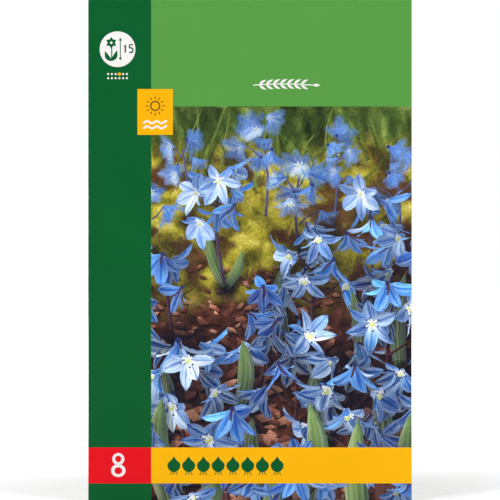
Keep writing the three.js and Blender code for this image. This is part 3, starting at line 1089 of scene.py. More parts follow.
def board_material(name, colour):
    """Bare board: grey-white pulp with a few darker fibres."""
    material, t, shader = new_material(name)
    place = t.object_place()
    stretched = t.node("ShaderNodeMapping", Scale=(0.35, 1.0, 1.0))
    t.set(stretched, "Vector", place)
    fibres = t.noise(stretched.outputs[0], 1500.0, 5.0, 0.7)
    pulp = t.noise(place, 160.0, 3.0)
    dark = t.range(fibres, 0.58, 0.72, 0.0, 0.35)
    base = t.blend(t.range(pulp, 0.3, 0.7, 0.0, 0.5), colour4(colour), colour4(colour * 0.88))
    t.set(shader, "Base Color", t.blend(dark, base, colour4(colour * np.array([0.62, 0.58, 0.52]))))
    t.set(shader, "Roughness", t.range(fibres, 0.3, 0.7, 0.7, 0.9))
    t.set(shader, "Normal", t.bump(fibres, 0.3, 0.00004))
    return material


# ------------------------------------------------------------------ the card


def new_piece(name, vertices, faces, materials, face_materials=None, smooth_faces=False):
    """A mesh piece from points in millimetres."""
    mesh = bpy.data.meshes.new(name)
    mesh.from_pydata([tuple(MM * c for c in v) for v in vertices], [], [tuple(map(int, f)) for f in faces])
    for material in materials:
        mesh.materials.append(material)
    if face_materials is not None:
        mesh.polygons.foreach_set("material_index", np.asarray(face_materials, np.int32))
    mesh.polygons.foreach_set("use_smooth", np.full(len(mesh.polygons), smooth_faces))
    mesh.update()
    piece = bpy.data.objects.new(name, mesh)
    bpy.context.scene.collection.objects.link(piece)
    return piece


def folded(x, s, depth):
    """A point of the flat sheet after the card is folded: depth is how far under the printed side."""
    if s <= FOLD_START:
        return (x, FRONT_Y + depth, s)
    if s <= FOLD_START + FOLD_LENGTH:
        angle = (s - FOLD_START) / FOLD_RADIUS
        radius = FOLD_RADIUS - depth
        return (x, FRONT_Y + FOLD_RADIUS - radius * math.cos(angle), FOLD_START + radius * math.sin(angle))
    return (x, FLAP_Y - depth, FOLD_START - (s - FOLD_START - FOLD_LENGTH))


def rim_of(triangles):
    """The edges that only one triangle has, each in that triangle's direction."""
    pairs = np.concatenate([triangles[:, [0, 1]], triangles[:, [1, 2]], triangles[:, [2, 0]]])
    seen = set(map(tuple, pairs.tolist()))
    return [(a, b) for a, b in map(tuple, pairs.tolist()) if (b, a) not in seen]


FOLD_STEPS = 12

# A flat map for pictures of each surface, as shares of its width: the printed side, the back, and the
# four sides of the rim.
FLAT_MAP = "OFBake"
PRINT_FROM, PRINT_WIDTH = 0.004, 0.68
BACK_FROM, BACK_WIDTH = 0.69, 0.26
RIM_FROM, RIM_STEP, RIM_WIDTH = 0.956, 0.011, 0.007
MAP_LOW, MAP_TALL = 0.004, 0.992


def add_flat_map(piece, across, up):
    """Gives a piece a map from each corner of its faces to a place between 0 and 1 both ways."""
    layer = piece.data.uv_layers.new(name=FLAT_MAP, do_init=False)
    places = np.column_stack([across, MAP_LOW + MAP_TALL * up])
    layer.uv.foreach_set("vector", places.astype(np.float32).ravel())


def corners_in(piece):
    """The point at each corner of a piece's faces, face by face."""
    corners = np.zeros(len(piece.data.loops), np.int32)
    piece.data.loops.foreach_get("vertex_index", corners)
    return corners


def map_card(card, places, printed_corners, rim_corners):
    """Lays the card out flat: its printed side, then its back, then its rim as four strips."""
    corners = corners_in(card)
    share = places[corners, 0] / (2 * HALF_CARD) + 0.5
    up = places[corners, 1] / SHEET_LENGTH
    across = PRINT_FROM + PRINT_WIDTH * share
    across[printed_corners:] = BACK_FROM + BACK_WIDTH * (1 - share[printed_corners:])
    rim_share = share[-rim_corners:].reshape(-1, 4)
    rim_up = up[-rim_corners:].reshape(-1, 4)
    x, s = rim_share.mean(axis=1), rim_up.mean(axis=1)
    side = np.argmin([x, 1 - x, s, 1 - s], axis=0)[:, None]
    deep = np.array([0, 0, 1, 1])
    across[-rim_corners:] = (RIM_FROM + RIM_STEP * side + RIM_WIDTH * deep).ravel()
    up[-rim_corners:] = np.where(side < 2, rim_up, rim_share).ravel()
    add_flat_map(card, across, up)


def make_card(inks, board_back, board_edge):
    """The card: its printed side is the flattened plate, bent over the fold, on a board of its own."""
    plate = Plate()
    draw_picture(plate)
    draw_layout(plate)
    creases = [FOLD_START + FOLD_LENGTH * k / FOLD_STEPS for k in range(FOLD_STEPS + 1)]
    levels = [0.0, *creases, SHEET_LENGTH]
    lines = [((-HALF_CARD, s), (HALF_CARD, s)) for s in levels]
    lines += [((side, 0.0), (side, SHEET_LENGTH)) for side in (-HALF_CARD, HALF_CARD)]
    rng = random.Random(SEED)
    spread = [
        (x + rng.uniform(-0.5, 0.5), y + rng.uniform(-0.5, 0.5))
        for x in np.arange(COLUMN_EDGE, HALF_CARD, 1.5)
        for y in np.arange(0.8, PICTURE_TOP, 1.5)
    ]
    layer = flatten(plate, lines, spread)

    used, compact = np.unique(layer.triangles, return_inverse=True)
    front = compact.reshape(-1, 3)
    flat = layer.points[used]
    rim = rim_of(front)
    rim_points = sorted({a for edge in rim for a in edge})
    back_place = {point: i for i, point in enumerate(rim_points)}
    rim_edges = [(back_place[a], back_place[b]) for a, b in rim]
    across = []
    for s in creases:
        ends = [back_place[p] for p in rim_points if abs(flat[p][1] - s) < 1e-3]
        ends.sort(key=lambda i: flat[rim_points[i]][0])
        across.append((ends[0], ends[-1]))
    back_flat = [Vector(flat[p]) for p in rim_points]
    _, _, back, back_from, _, _ = delaunay_2d_cdt(back_flat, rim_edges + across, [], 0, 1e-5, True)
    vertices = [folded(*p, 0.0) for p in flat] + [folded(*flat[p], BOARD) for p in rim_points]
    behind = len(flat)
    faces = [tuple(f) for f in front]
    faces += [tuple(behind + back_from[i][0] for i in reversed(f)) for f in back]
    faces += [(b, a, behind + back_place[a], behind + back_place[b]) for a, b in rim]
    names = list(inks)
    slots = [names.index(ink) for ink in layer.ink]
    slots += [len(names)] * len(back) + [len(names) + 1] * len(rim)
    card = new_piece("picture_card", vertices, faces, [*inks.values(), board_back, board_edge], slots)
    mesh = card.data
    for name, kind, values in (
        ("ink", "FLOAT_COLOR", layer.colour),
        ("shape", "FLOAT_VECTOR", layer.shape),
        ("detail", "FLOAT_VECTOR", layer.detail),
    ):
        width = 4 if kind == "FLOAT_COLOR" else 3
        data = np.zeros((len(mesh.loops), width), np.float32)
        data[: len(front) * 3, : values.shape[2]] = values.reshape(-1, values.shape[2])
        if width == 4:
            data[:, 3] = 1
        attribute = mesh.attributes.new(name, kind, "CORNER")
        attribute.data.foreach_set("color" if width == 4 else "vector", data.ravel())
    map_card(card, np.concatenate([flat, flat[rim_points]]), len(front) * 3, len(rim) * 4)
    return card


press = build_press_group()
inks = {"picture_ink": picture_material(press)}
for name, colour in (
    ("dark_green_ink", DARK_GREEN),
    ("light_green_ink", LIGHT_GREEN),
    ("yellow_ink", WARM_YELLOW),
    ("orange_ink", TILE_ORANGE),
    ("red_ink", SIGNAL_RED),
    ("white_ink", BARE_WHITE),
    ("brown_ink", LINE_BROWN),
):
    inks[name] = printed(press, name, colour)
card = make_card(
    inks,
    board_material("board_back", srgb(226, 222, 212)),
    board_material("board_edge", srgb(214, 208, 196)),
)
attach(card, "root")
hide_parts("card")


# ------------------------------------------------------------------ dry bulbs

# One bulb standing on its plate: (height, radius) from the plate to the neck's tip, 23 mm across.
BULB_PROFILE = [
    (-0.35, 0.0),
    (-0.25, 1.8),
    (0.05, 3.3),
    (0.55, 4.2),
    (1.2, 6.2),
    (3.6, 9.2),
    (7.4, 11.1),
    (11.0, 11.5),
    (14.8, 10.6),
    (18.2, 8.2),
    (20.8, 5.2),
    (23.2, 2.7),
    (25.6, 1.4),
    (26.3, 0.0),
]
BULB_LENGTH = 26.4
BULB_GIRTH = 0.97
BULB_SIDES = 72
BULB_RINGS = 54
TUNIC = 0.24
STUB_LEVEL = 0.1  # the film underneath bends every stub of root up to this height

TUNIC_LIGHT = srgb(146, 104, 84)
TUNIC_DARK = srgb(58, 30, 34)
UNDER_LIGHT = srgb(168, 126, 118)
UNDER_DARK = srgb(108, 66, 70)
PLATE_TAN = srgb(176, 146, 106)
ROOT_LIGHT = srgb(186, 160, 124)
ROOT_DARK = srgb(104, 78, 56)
FLAKE_LIGHT = srgb(162, 121, 99)
FLAKE_DARK = srgb(96, 56, 48)


def bulb_pose(name):
    """Where a bulb stands: the middle of its plate, the way its neck points, and its scale."""
    points = np.array([v.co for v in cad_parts[name].data.vertices]) / MM
    tip = points[np.linalg.norm(points - points.mean(axis=0), axis=1).argmax()]
    reach = np.linalg.norm(points - tip, axis=1)
    foot = np.unique(points[reach > 0.995 * reach.max()].round(3), axis=0).mean(axis=0)
    length = np.linalg.norm(tip - foot)
    return foot, (tip - foot) / length, length / BULB_LENGTH


def smooth_path(stops, steps):
    """Points along a smooth curve through the stops."""
    stops = np.array(stops, float)
    ends = np.concatenate([[2 * stops[0] - stops[1]], stops, [2 * stops[-1] - stops[-2]]])
    spots = np.linspace(0, len(stops) - 1, steps)
    first = np.minimum(spots.astype(int), len(stops) - 2)
    share = (spots - first)[:, None]
    a, b, c, d = (ends[first + k] for k in range(4))
    turn = 2 * b + (c - a) * share + (2 * a - 5 * b + 4 * c - d) * share**2
    return (turn + (3 * b - a - 3 * c + d) * share**3) / 2


def bulb_body(number):
    """A bulb on its plate at the origin: points, faces, and how far its outer tunic is torn away."""
    rng = random.Random(SEED + number)
    outline = smooth_path(BULB_PROFILE, BULB_RINGS)
    outline[:, 1] = np.maximum(outline[:, 1], 0)
    phase, shift = rng.uniform(0, 6.28), rng.uniform(0, 40)
    points, torn = [(0.0, 0.0, outline[0, 0])], [0.0]
    for height, radius in outline[1:-1]:
        up = height / BULB_LENGTH
        neck = smooth(0.8, 0.95, up)
        for k in range(BULB_SIDES):
            angle = 2 * math.pi * k / BULB_SIDES
            c, s = math.cos(angle), math.sin(angle)
            lobes = 0.016 * math.cos(3 * angle + phase) + 0.01 * math.cos(2 * angle - phase)
            lumps = noise.fractal((2.2 * c, 2.2 * s, 2.4 * up + shift), 1.0, 2.0, 3) * 0.018
            ribs = 0.006 * math.sin(17 * angle + 3 * math.sin(5 * up + phase))
            patch = noise.fractal((1.7 * c + shift, 1.7 * s, 1.1 * up), 0.8, 2.0, 5)
            bare = float(smooth(0.12, 0.2, patch)) * float(smooth(0.08, 0.2, up)) * (1 - neck)
            girth = radius * BULB_GIRTH * (1 + lobes + lumps + ribs * (1 - 0.6 * bare))
            reach = girth - TUNIC * bare * min(1, radius / 4)
            twist = 0.5 * neck
            flat = 1 - 0.35 * neck
            x, y = reach * math.cos(angle + twist), reach * math.sin(angle + twist) * flat
            crumple = 0.5 * neck * noise.fractal((3 * c, 3 * s, height * 0.7 + shift), 1.0, 2.0, 2)
            points.append((x + crumple, y + 0.6 * crumple, height + 0.5 * crumple))
            torn.append(bare)
    points.append((0.0, 0.0, outline[-1, 0]))
    torn.append(0.0)
    faces = [(0, 1 + (k + 1) % BULB_SIDES, 1 + k) for k in range(BULB_SIDES)]
    for ring in range(BULB_RINGS - 3):
        low, high = 1 + ring * BULB_SIDES, 1 + (ring + 1) * BULB_SIDES
        for k in range(BULB_SIDES):
            after = (k + 1) % BULB_SIDES
            faces.append((low + k, low + after, high + after, high + k))
    last = len(points) - 1
    ring = last - BULB_SIDES
    faces += [(ring + k, ring + (k + 1) % BULB_SIDES, last) for k in range(BULB_SIDES)]
    return points, faces, torn


class Recipe(Tree):
    """A Geometry Nodes tree with named inputs, which ends in Realize Instances and Set Material."""

    def __init__(self, name, inputs):
        tree = bpy.data.node_groups.new(name, "GeometryNodeTree")
        super().__init__(tree)
        tree.interface.new_socket("Geometry", in_out="OUTPUT", socket_type="NodeSocketGeometry")
        self.sockets = {}
        for socket, kind in {"Geometry": "Geometry", **inputs, "Finish": "Material"}.items():
            made = tree.interface.new_socket(socket, in_out="INPUT", socket_type=f"NodeSocket{kind}")
            self.sockets[socket] = made.identifier
        self.entry = tree.nodes.new("NodeGroupInput").outputs
        self.out = tree.nodes.new("NodeGroupOutput")

    def random(self, low, high, number, kind="FLOAT"):
        made = self.node("FunctionNodeRandomValue", {"data_type": kind})
        places = {"FLOAT": (2, 3), "FLOAT_VECTOR": (0, 1)}[kind]
        self.set(made, places[0], low)
        self.set(made, places[1], high)
        self.set(made, "Seed", self.plus(self.entry["Seed"], number))
        return made.outputs["Value" if kind == "FLOAT_VECTOR" else 1]

    def finish(self, instances):
        real = self.node("GeometryNodeRealizeInstances")
        self.set(real, "Geometry", instances)
        smooth_shade = self.node("GeometryNodeSetShadeSmooth")
        self.set(smooth_shade, 0, real.outputs[0])
        painted = self.node("GeometryNodeSetMaterial")
        self.set(painted, "Geometry", smooth_shade.outputs[0])
        self.set(painted, "Material", self.entry["Finish"])
        self.set(self.out, 0, painted.outputs[0])

    def grow(self, piece, **values):
        """The plain mesh that the recipe makes from a piece."""
        modifier = piece.modifiers.new(self.tree.name, "NODES")
        modifier.node_group = self.tree
        for name, value in values.items():
            modifier[self.sockets[name]] = value
        depsgraph = bpy.context.evaluated_depsgraph_get()
        mesh = bpy.data.meshes.new_from_object(piece.evaluated_get(depsgraph), depsgraph=depsgraph)
        piece.modifiers.remove(modifier)
        return mesh


GOLDEN_ANGLE = 2.39996
ROOT_SUNK = 0.35  # how far up in the plate a stub of root starts
ROOTS = {"Roots": 26, "Plate": 3.3 * MM, "Length": 3.0 * MM, "Thickness": 0.62 * MM}
FLAKES = {"Flakes": 2600.0, "Size": 3.7 * MM, "Lift": 0.1 * MM}


def build_root_recipe():
    """Dried roots, broken off short, which spread from the plate under a bulb."""
    t = Recipe(
        "root stubs",
        {"Roots": "Int", "Plate": "Float", "Length": "Float", "Thickness": "Float", "Seed": "Int"},
    )
    index = t.node("GeometryNodeInputIndex").outputs[0]
    angle = t.plus(t.times(index, GOLDEN_ANGLE), t.random(-0.4, 0.4, 1))
    share = t.math("SQRT", t.math("DIVIDE", t.plus(index, 0.6), t.entry["Roots"]))
    radius = t.times(share, t.entry["Plate"])
    across = t.times(radius, t.math("COSINE", angle))
    deep = t.times(radius, t.math("SINE", angle))
    place = t.vector(across, deep, ROOT_SUNK * MM)
    spots = t.node("GeometryNodePoints")
    t.set(spots, "Count", t.entry["Roots"])
    t.set(spots, "Position", place)
    long = t.entry["Length"]
    curve = t.node("GeometryNodeCurveQuadraticBezier", Resolution=6)
    t.set(curve, "Start", (0, 0, 0))
    t.set(curve, "Middle", t.vector(t.times(long, 0.25), 0.0, t.times(long, -0.3)))
    t.set(curve, "End", t.vector(long, t.times(long, 0.15), t.times(long, -0.02)))
    along = t.node("GeometryNodeSplineParameter").outputs["Factor"]
    taper = t.node("GeometryNodeSetCurveRadius")
    t.set(taper, "Curve", curve.outputs[0])
    t.set(taper, "Radius", t.minus(1.0, t.times(along, 0.62)))
    ring = t.node("GeometryNodeCurvePrimitiveCircle", {"mode": "RADIUS"}, Resolution=6)
    t.set(ring, "Radius", t.times(t.entry["Thickness"], 0.5))
    stub = t.node("GeometryNodeCurveToMesh")
    t.set(stub, "Curve", taper.outputs[0])
    t.set(stub, "Profile Curve", ring.outputs[0])
    t.set(stub, "Fill Caps", True)
    laid = t.node("GeometryNodeInstanceOnPoints")
    t.set(laid, "Points", spots.outputs[0])
    t.set(laid, "Instance", stub.outputs[0])
    roll, tip = t.random(-0.9, 0.9, 2), t.random(-0.1, 0.2, 3)
    t.set(laid, "Rotation", t.vector(roll, tip, t.plus(angle, t.random(-0.5, 0.5, 4))))
    size = t.random(0.55, 1.2, 5)
    t.set(laid, "Scale", t.vector(size, size, t.times(size, 0.8)))
    t.finish(laid.outputs[0])
    return t


def build_flake_recipe():
    """Flakes of outer skin that are coming away from a bulb."""
    t = Recipe("tunic flakes", {"Flakes": "Float", "Size": "Float", "Lift": "Float", "Seed": "Int"})
    spots = t.node("GeometryNodeDistributePointsOnFaces", {"distribute_method": "RANDOM"})
    t.set(spots, "Mesh", t.entry["Geometry"])
    t.set(spots, "Density", t.entry["Flakes"])
    t.set(spots, "Seed", t.entry["Seed"])
    scale = t.node("GeometryNodeMeshUVSphere", Segments=12, Rings=6, Radius=1.0)
    place = t.node("GeometryNodeInputPosition").outputs[0]
    x, y, z = t.parts(place)
    ragged = t.noise(place, 2.3, 3.0)
    wide = t.plus(0.62, t.times(ragged, 0.76))
    round_x = t.times(t.times(x, x), -0.13)
    curl = t.plus(t.times(t.times(y, y), -0.05), round_x)
    lifted = t.times(t.math("POWER", t.math("MAXIMUM", x, 0.0), 3.0), 0.15)
    height = t.plus(t.times(z, 0.012), t.plus(curl, lifted))
    shaped = t.node("GeometryNodeSetPosition")
    t.set(shaped, "Geometry", scale.outputs[0])
    t.set(shaped, "Position", t.vector(t.times(x, wide), t.times(t.times(y, 0.55), wide), height))
    raised = t.node("GeometryNodeSetPosition")
    t.set(raised, "Geometry", spots.outputs["Points"])
    t.set(raised, "Offset", t.scaled(spots.outputs["Normal"], t.entry["Lift"]))
    laid = t.node("GeometryNodeInstanceOnPoints")
    t.set(laid, "Points", raised.outputs[0])
    t.set(laid, "Instance", shaped.outputs[0])
    spin = t.node("FunctionNodeRotateRotation", {"rotation_space": "LOCAL"})
    t.set(spin, 0, spots.outputs["Rotation"])
    t.set(spin, 1, t.vector(0.0, 0.0, t.random(-3.1, 3.1, 6)))
    t.set(laid, "Rotation", spin.outputs[0])
    size = t.times(t.entry["Size"], t.random(0.55, 1.25, 7))
    t.set(laid, "Scale", t.vector(size, size, size))
    t.finish(laid.outputs[0])
    return t


def build_skin_group():
    """Dry skin: streaks that run along it, fine veins, and a few dark specks."""
    tree, entry, out = new_group(
        "dry skin",
        {"Place": "Vector", "Light": "Color", "Dark": "Color", "Size": "Float"},
        {"Colour": "Color", "Roughness": "Float", "Height": "Float"},
    )
    t = Tree(tree)
    place = entry.outputs["Place"]
    size = entry.outputs["Size"]
    streak = t.noise(place, t.times(size, 3.0), 6.0, 0.65)
    vein = t.noise(place, t.times(size, 16.0), 2.0, 0.5)
    ridge = t.math("ABSOLUTE", t.minus(vein, 0.5))
    veined = t.range(ridge, 0.0, 0.06, 0.55, 0.0)
    speck = t.range(t.noise(t.object_place(), 2400.0, 2.0), 0.62, 0.7, 0.0, 0.5)
    base = t.blend(t.range(streak, 0.3, 0.7), entry.outputs["Dark"], entry.outputs["Light"])
    base = t.blend(t.times(veined, 0.6), base, entry.outputs["Dark"])
    t.set(out, "Colour", t.blend(speck, base, colour4(srgb(38, 22, 20))))
    t.set(out, "Roughness", t.range(streak, 0.3, 0.7, 0.42, 0.68))
    t.set(out, "Height", t.plus(t.times(veined, -0.5), streak))
    return tree


def tunic_material(skin):
    """A bulb's papery tunic, the paler skin where it is torn, the corky plate and the dry neck."""
    material, t, shader = new_material("papery_tunic")
    place = t.attribute("skin_place")
    up, torn, _ = t.parts(t.attribute("skin_state"))
    outer = use_group(t, skin, Place=place, Light=colour4(TUNIC_LIGHT), Dark=colour4(TUNIC_DARK), Size=1.0)
    under = use_group(t, skin, Place=place, Light=colour4(UNDER_LIGHT), Dark=colour4(UNDER_DARK), Size=0.6)
    crumble = t.noise(t.object_place(), 1500.0, 4.0, 0.7)
    bare = t.range(t.plus(torn, t.times(t.minus(crumble, 0.5), 0.7)), 0.44, 0.56)
    edge = t.times(t.times(torn, t.minus(1.0, torn)), 2.2)
    colour = t.blend(bare, outer.outputs["Colour"], under.outputs["Colour"])
    colour = t.blend(edge, colour, colour4(TUNIC_DARK * 0.6))
    neck = t.range(t.plus(up, t.times(crumble, 0.08)), 0.82, 0.98, 0.0, 0.75)
    colour = t.blend(neck, colour, colour4(srgb(178, 142, 108)))
    cork = t.range(t.plus(up, t.times(crumble, 0.03)), 0.03, 0.055, 1.0, 0.0)
    pitted = t.range(crumble, 0.3, 0.7)
    colour = t.blend(cork, colour, t.blend(pitted, colour4(PLATE_TAN * 0.45), colour4(PLATE_TAN * 1.1)))
    t.set(shader, "Base Color", colour)
    t.set(shader, "Roughness", t.plus(outer.outputs["Roughness"], t.times(bare, -0.14)))
    height = t.plus(outer.outputs["Height"], t.times(crumble, t.plus(0.2, cork)))
    t.set(shader, "Normal", t.bump(height, 0.55, 0.00016))
    return material


def skin_material(name, skin, light, dark, size, bump_depth):
    """Dry roots or loose flakes, whose streaks follow no axis."""
    material, t, shader = new_material(name)
    look = use_group(t, skin, Place=t.object_place(), Light=colour4(light), Dark=colour4(dark), Size=size)
    t.set(shader, "Base Color", look.outputs["Colour"])
    t.set(shader, "Roughness", look.outputs["Roughness"])
    t.set(shader, "Normal", t.bump(look.outputs["Height"], 0.5, bump_depth))
    return material


def join_meshes(name, parts, materials):
    """One mesh from several, each with its place in the list of materials."""
    vertices, faces, slots = [], [], []
    for mesh, slot in parts:
        start = len(vertices)
        vertices += [tuple(v.co) for v in mesh.vertices]
        faces += [tuple(start + i for i in p.vertices) for p in mesh.polygons]
        slots += [slot] * len(mesh.polygons)
    joined = bpy.data.meshes.new(name)
    joined.from_pydata(vertices, [], faces)
    for material in materials:
        joined.materials.append(material)
    joined.polygons.foreach_set("material_index", slots)
    joined.polygons.foreach_set("use_smooth", [True] * len(faces))
    return joined


def make_bulb(number, finishes, roots, flakes):
    """A dry bulb with its torn tunic, its loose flakes and its stubs of root, where the frame has it."""
    tunic, root_skin, flake_skin = finishes
    points, faces, torn = bulb_body(number)
    body = new_piece("bulb_body", points, faces, [tunic], smooth_faces=True)
    stubs = roots.grow(body, **ROOTS, Seed=number, Finish=root_skin)
    scraps = flakes.grow(body, **FLAKES, Seed=number, Finish=flake_skin)
    mesh = join_meshes(f"dry_bulb_{number}", [(body.data, 0), (stubs, 1), (scraps, 2)], finishes)
    count = len(mesh.vertices)
    place, state = np.zeros((count, 3), np.float32), np.zeros((count, 3), np.float32)
    local = np.array(points)
    angle = np.arctan2(local[:, 1], local[:, 0])
    place[: len(local)] = np.column_stack([np.cos(angle), np.sin(angle), 0.035 * local[:, 2] + number])
    state[: len(local), 0] = local[:, 2] / BULB_LENGTH
    state[: len(local), 1] = torn
    for name, values in (("skin_place", place), ("skin_state", state)):
        mesh.attributes.new(name, "FLOAT_VECTOR", "POINT").data.foreach_set("vector", values.ravel())
    foot, axis, scale = bulb_pose(f"bulb_{number}")
    turn = Vector((0, 0, 1)).rotation_difference(Vector(axis)).to_matrix().to_4x4()
    mesh.transform(Matrix.Translation(Vector(foot) * MM) @ turn @ Matrix.Scale(scale, 4))
    corners = np.zeros(count * 3, np.float32)
    mesh.vertices.foreach_get("co", corners)
    corners[2::3] = np.maximum(corners[2::3], STUB_LEVEL * MM)
    mesh.vertices.foreach_set("co", corners)
    mesh.update()
    bpy.data.objects.remove(body)
    bulb = bpy.data.objects.new(f"dry_bulb_{number}", mesh)
    bpy.context.scene.collection.objects.link(bulb)
    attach(bulb, "root")
    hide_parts(f"bulb_{number}")
    return bulb


skin = build_skin_group()
finishes = (
    tunic_material(skin),
    skin_material("dried_root", skin, ROOT_LIGHT, ROOT_DARK, 220.0, 0.0001),
    skin_material("tunic_flake", skin, FLAKE_LIGHT, FLAKE_DARK, 160.0, 0.00006),
)
roots, flakes = build_root_recipe(), build_flake_recipe()
bulbs = [make_bulb(number, finishes, roots, flakes) for number in range(1, 9)]


# ------------------------------------------------------------------ film bag

BAG_HALF_WIDTH = 59.0
BAG_WAIST = 7.0
BAG_WAIST_Z = 24.0
BAG_WAIST_SPREAD = 46.0
BAG_TOP = 184.0
BAG_SEAL = 4.0
UNWELDED_SHARE = 1 - BAG_SEAL / BAG_HALF_WIDTH
FOOT_ROUNDING = 6.0
FILM_FRONT_Y = -17.6
FILM_BACK_Y = -17.2
FILM_SEAL_Y = -17.4
FILM_HALF_THICKNESS = 0.03
FILM_CLEARANCE = 0.35
FLAT_FROM = CARD_TOP - FLAP_HEIGHT - 2.0
VENT_RADIUS = 2.6
VENT_SIDES = 24
VENT_COLUMNS = (-30, 0, 30)
VENT_ROWS = (33, 61, 89, 117, 145)
VENT_MARGIN = 0.35  # in cells of the film's grid, kept free of other points round a vent

BAG_COLUMNS = 100
FRONT_ROWS = 44
HIGH_ROWS = 36
UNDER_ROWS = 16
BEND_ROWS = 9
MOUTH_ROWS = 7
FILM_ROW = 1.4
BULBS_UNDER = 66  # no bulb reaches up to here
WELD_HALF_GAP = 0.04  # from the middle of the weld to the middle of either layer
FLOOR_GAP = 0.02
RELAX_STEPS = 5000
REACH_STEP = 0.75


def bag_half_width(z):
    return BAG_HALF_WIDTH - BAG_WAIST * np.exp(-(((z - BAG_WAIST_Z) / BAG_WAIST_SPREAD) ** 2))


def bulb_reach(across, up):
    """How far back the bulbs reach at each place, with the film's clearance, or a large minus."""
    vertices, polygons = [], []
    for bulb in bulbs:
        start = len(vertices)
        vertices += [v.co / MM for v in bulb.data.vertices]
        polygons += [tuple(start + i for i in p.vertices) for p in bulb.data.polygons]
    tree = BVHTree.FromPolygons(vertices, polygons)
    found = np.full((len(up), len(across)), -99.0)
    for j, z in enumerate(up):
        for i, x in enumerate(across):
            hit = tree.ray_cast(Vector((x, 60, z)), Vector((0, -1, 0)))[0]
            if hit is not None:
                found[j, i] = hit.y
    wide = found.copy()
    for dj in (-1, 0, 1):
        for di in (-1, 0, 1):
            moved = np.roll(np.roll(found, dj, axis=0), di, axis=1)
            wide = np.maximum(wide, moved + FILM_CLEARANCE)
    return wide


def sample(table, rows, columns):
    """A table's values between its cells."""
    r = np.clip(rows, 0, table.shape[0] - 1.001)
    c = np.clip(columns, 0, table.shape[1] - 1.001)
    i, j = r.astype(int), c.astype(int)
    u, v = r - i, c - j
    if table.ndim == 3:
        u, v = u[..., None], v[..., None]
    top = table[i, j] * (1 - v) + table[i, j + 1] * v
    low = table[i + 1, j] * (1 - v) + table[i + 1, j + 1] * v
    return top * (1 - u) + low * u


def crease(x, z, start, end, width, height):
    """A ridge along a line, highest in its middle."""
    start, end = np.array(start, float), np.array(end, float)
    ahead = end - start
    length = np.linalg.norm(ahead)
    along = ((x - start[0]) * ahead[0] + (z - start[1]) * ahead[1]) / length**2
    aside = ((z - start[1]) * ahead[0] - (x - start[0]) * ahead[1]) / length
    aside = aside + 0.06 * length * np.sin(2.5 * np.clip(along, 0, 1))
    rise = np.sin(math.pi * np.clip(along, 0, 1)) ** 0.7
    return height * rise * np.exp(-np.abs(aside / width) ** 1.4)


def film_creases(x, z):
    """Slack folds that fan up from the bulbs, and puckers along the welded sides."""
    rng = random.Random(SEED + 40)
    raised = np.zeros_like(x)
    for k in range(17):
        foot = (-46 + 5.75 * k + rng.uniform(-2.5, 2.5), rng.uniform(36, 52))
        top = (0.86 * foot[0] + rng.uniform(-9, 9), rng.uniform(84, 156))
        width = rng.uniform(1.0, 2.6)
        height = rng.uniform(0.35, 1.05) * rng.choice((1, 1, -0.7))
        raised += crease(x, z, foot, top, width, height)
    for side in (-1, 1):
        z_here = 12.0
        while z_here < 156:
            edge = side * (float(bag_half_width(z_here)) - BAG_SEAL - 0.5)
            inward = edge - side * rng.uniform(7, 17)
            z_end = z_here + rng.uniform(-6, 5)
            width = rng.uniform(0.8, 1.5)
            height = rng.uniform(0.25, 0.6)
            raised += crease(x, z, (edge, z_here), (inward, z_end), width, height)
            z_here += rng.uniform(3.5, 8.0)
    return raised


def taut_back(shares, heights):
    """How far the back of the film stands behind its front, as rows of depths."""
    across = np.arange(-BAG_HALF_WIDTH, BAG_HALF_WIDTH + REACH_STEP, REACH_STEP)
    up = np.arange(0, BULBS_UNDER, REACH_STEP)
    reach_table = bulb_reach(across, up) - FILM_BACK_Y
    x = shares[None, :] * bag_half_width(heights)[:, None]
    z = np.repeat(heights[:, None], len(shares), axis=1)
    reach = sample(reach_table, z / REACH_STEP, (x + BAG_HALF_WIDTH) / REACH_STEP)
    reach = np.where(z < up[-1], np.maximum(reach, 0), 0)
    free = np.abs(shares) < UNWELDED_SHARE - 1e-6
    gaps = np.diff(heights)
    below, above = np.append(gaps[0], gaps)[:-1], gaps
    step_x = (shares[2] - shares[1]) * (BAG_HALF_WIDTH - 0.5 * BAG_WAIST)
    depths = reach.copy()
    to_low = (2 / (below * (below + above)))[:, None]
    to_high = (2 / (above * (below + above)))[:, None]
    to_side = 1 / step_x**2
    total = to_low + to_high + 2 * to_side
    for _ in range(RELAX_STEPS):
        low = np.concatenate([depths[1:2], depths[:-2]])
        level = to_low * low + to_high * depths[1:]
        level[:, 1:-1] += to_side * (depths[:-1, :-2] + depths[:-1, 2:])
        depths[:-1] = np.where(free, np.maximum(level / total, reach[:-1]), 0)
        depths[-1] = 0
    room = smooth(0.3, 4.0, depths)
    folded_film = depths + film_creases(x, z) * room
    return np.where(free, np.maximum(folded_film, np.maximum(reach, 0)), 0)


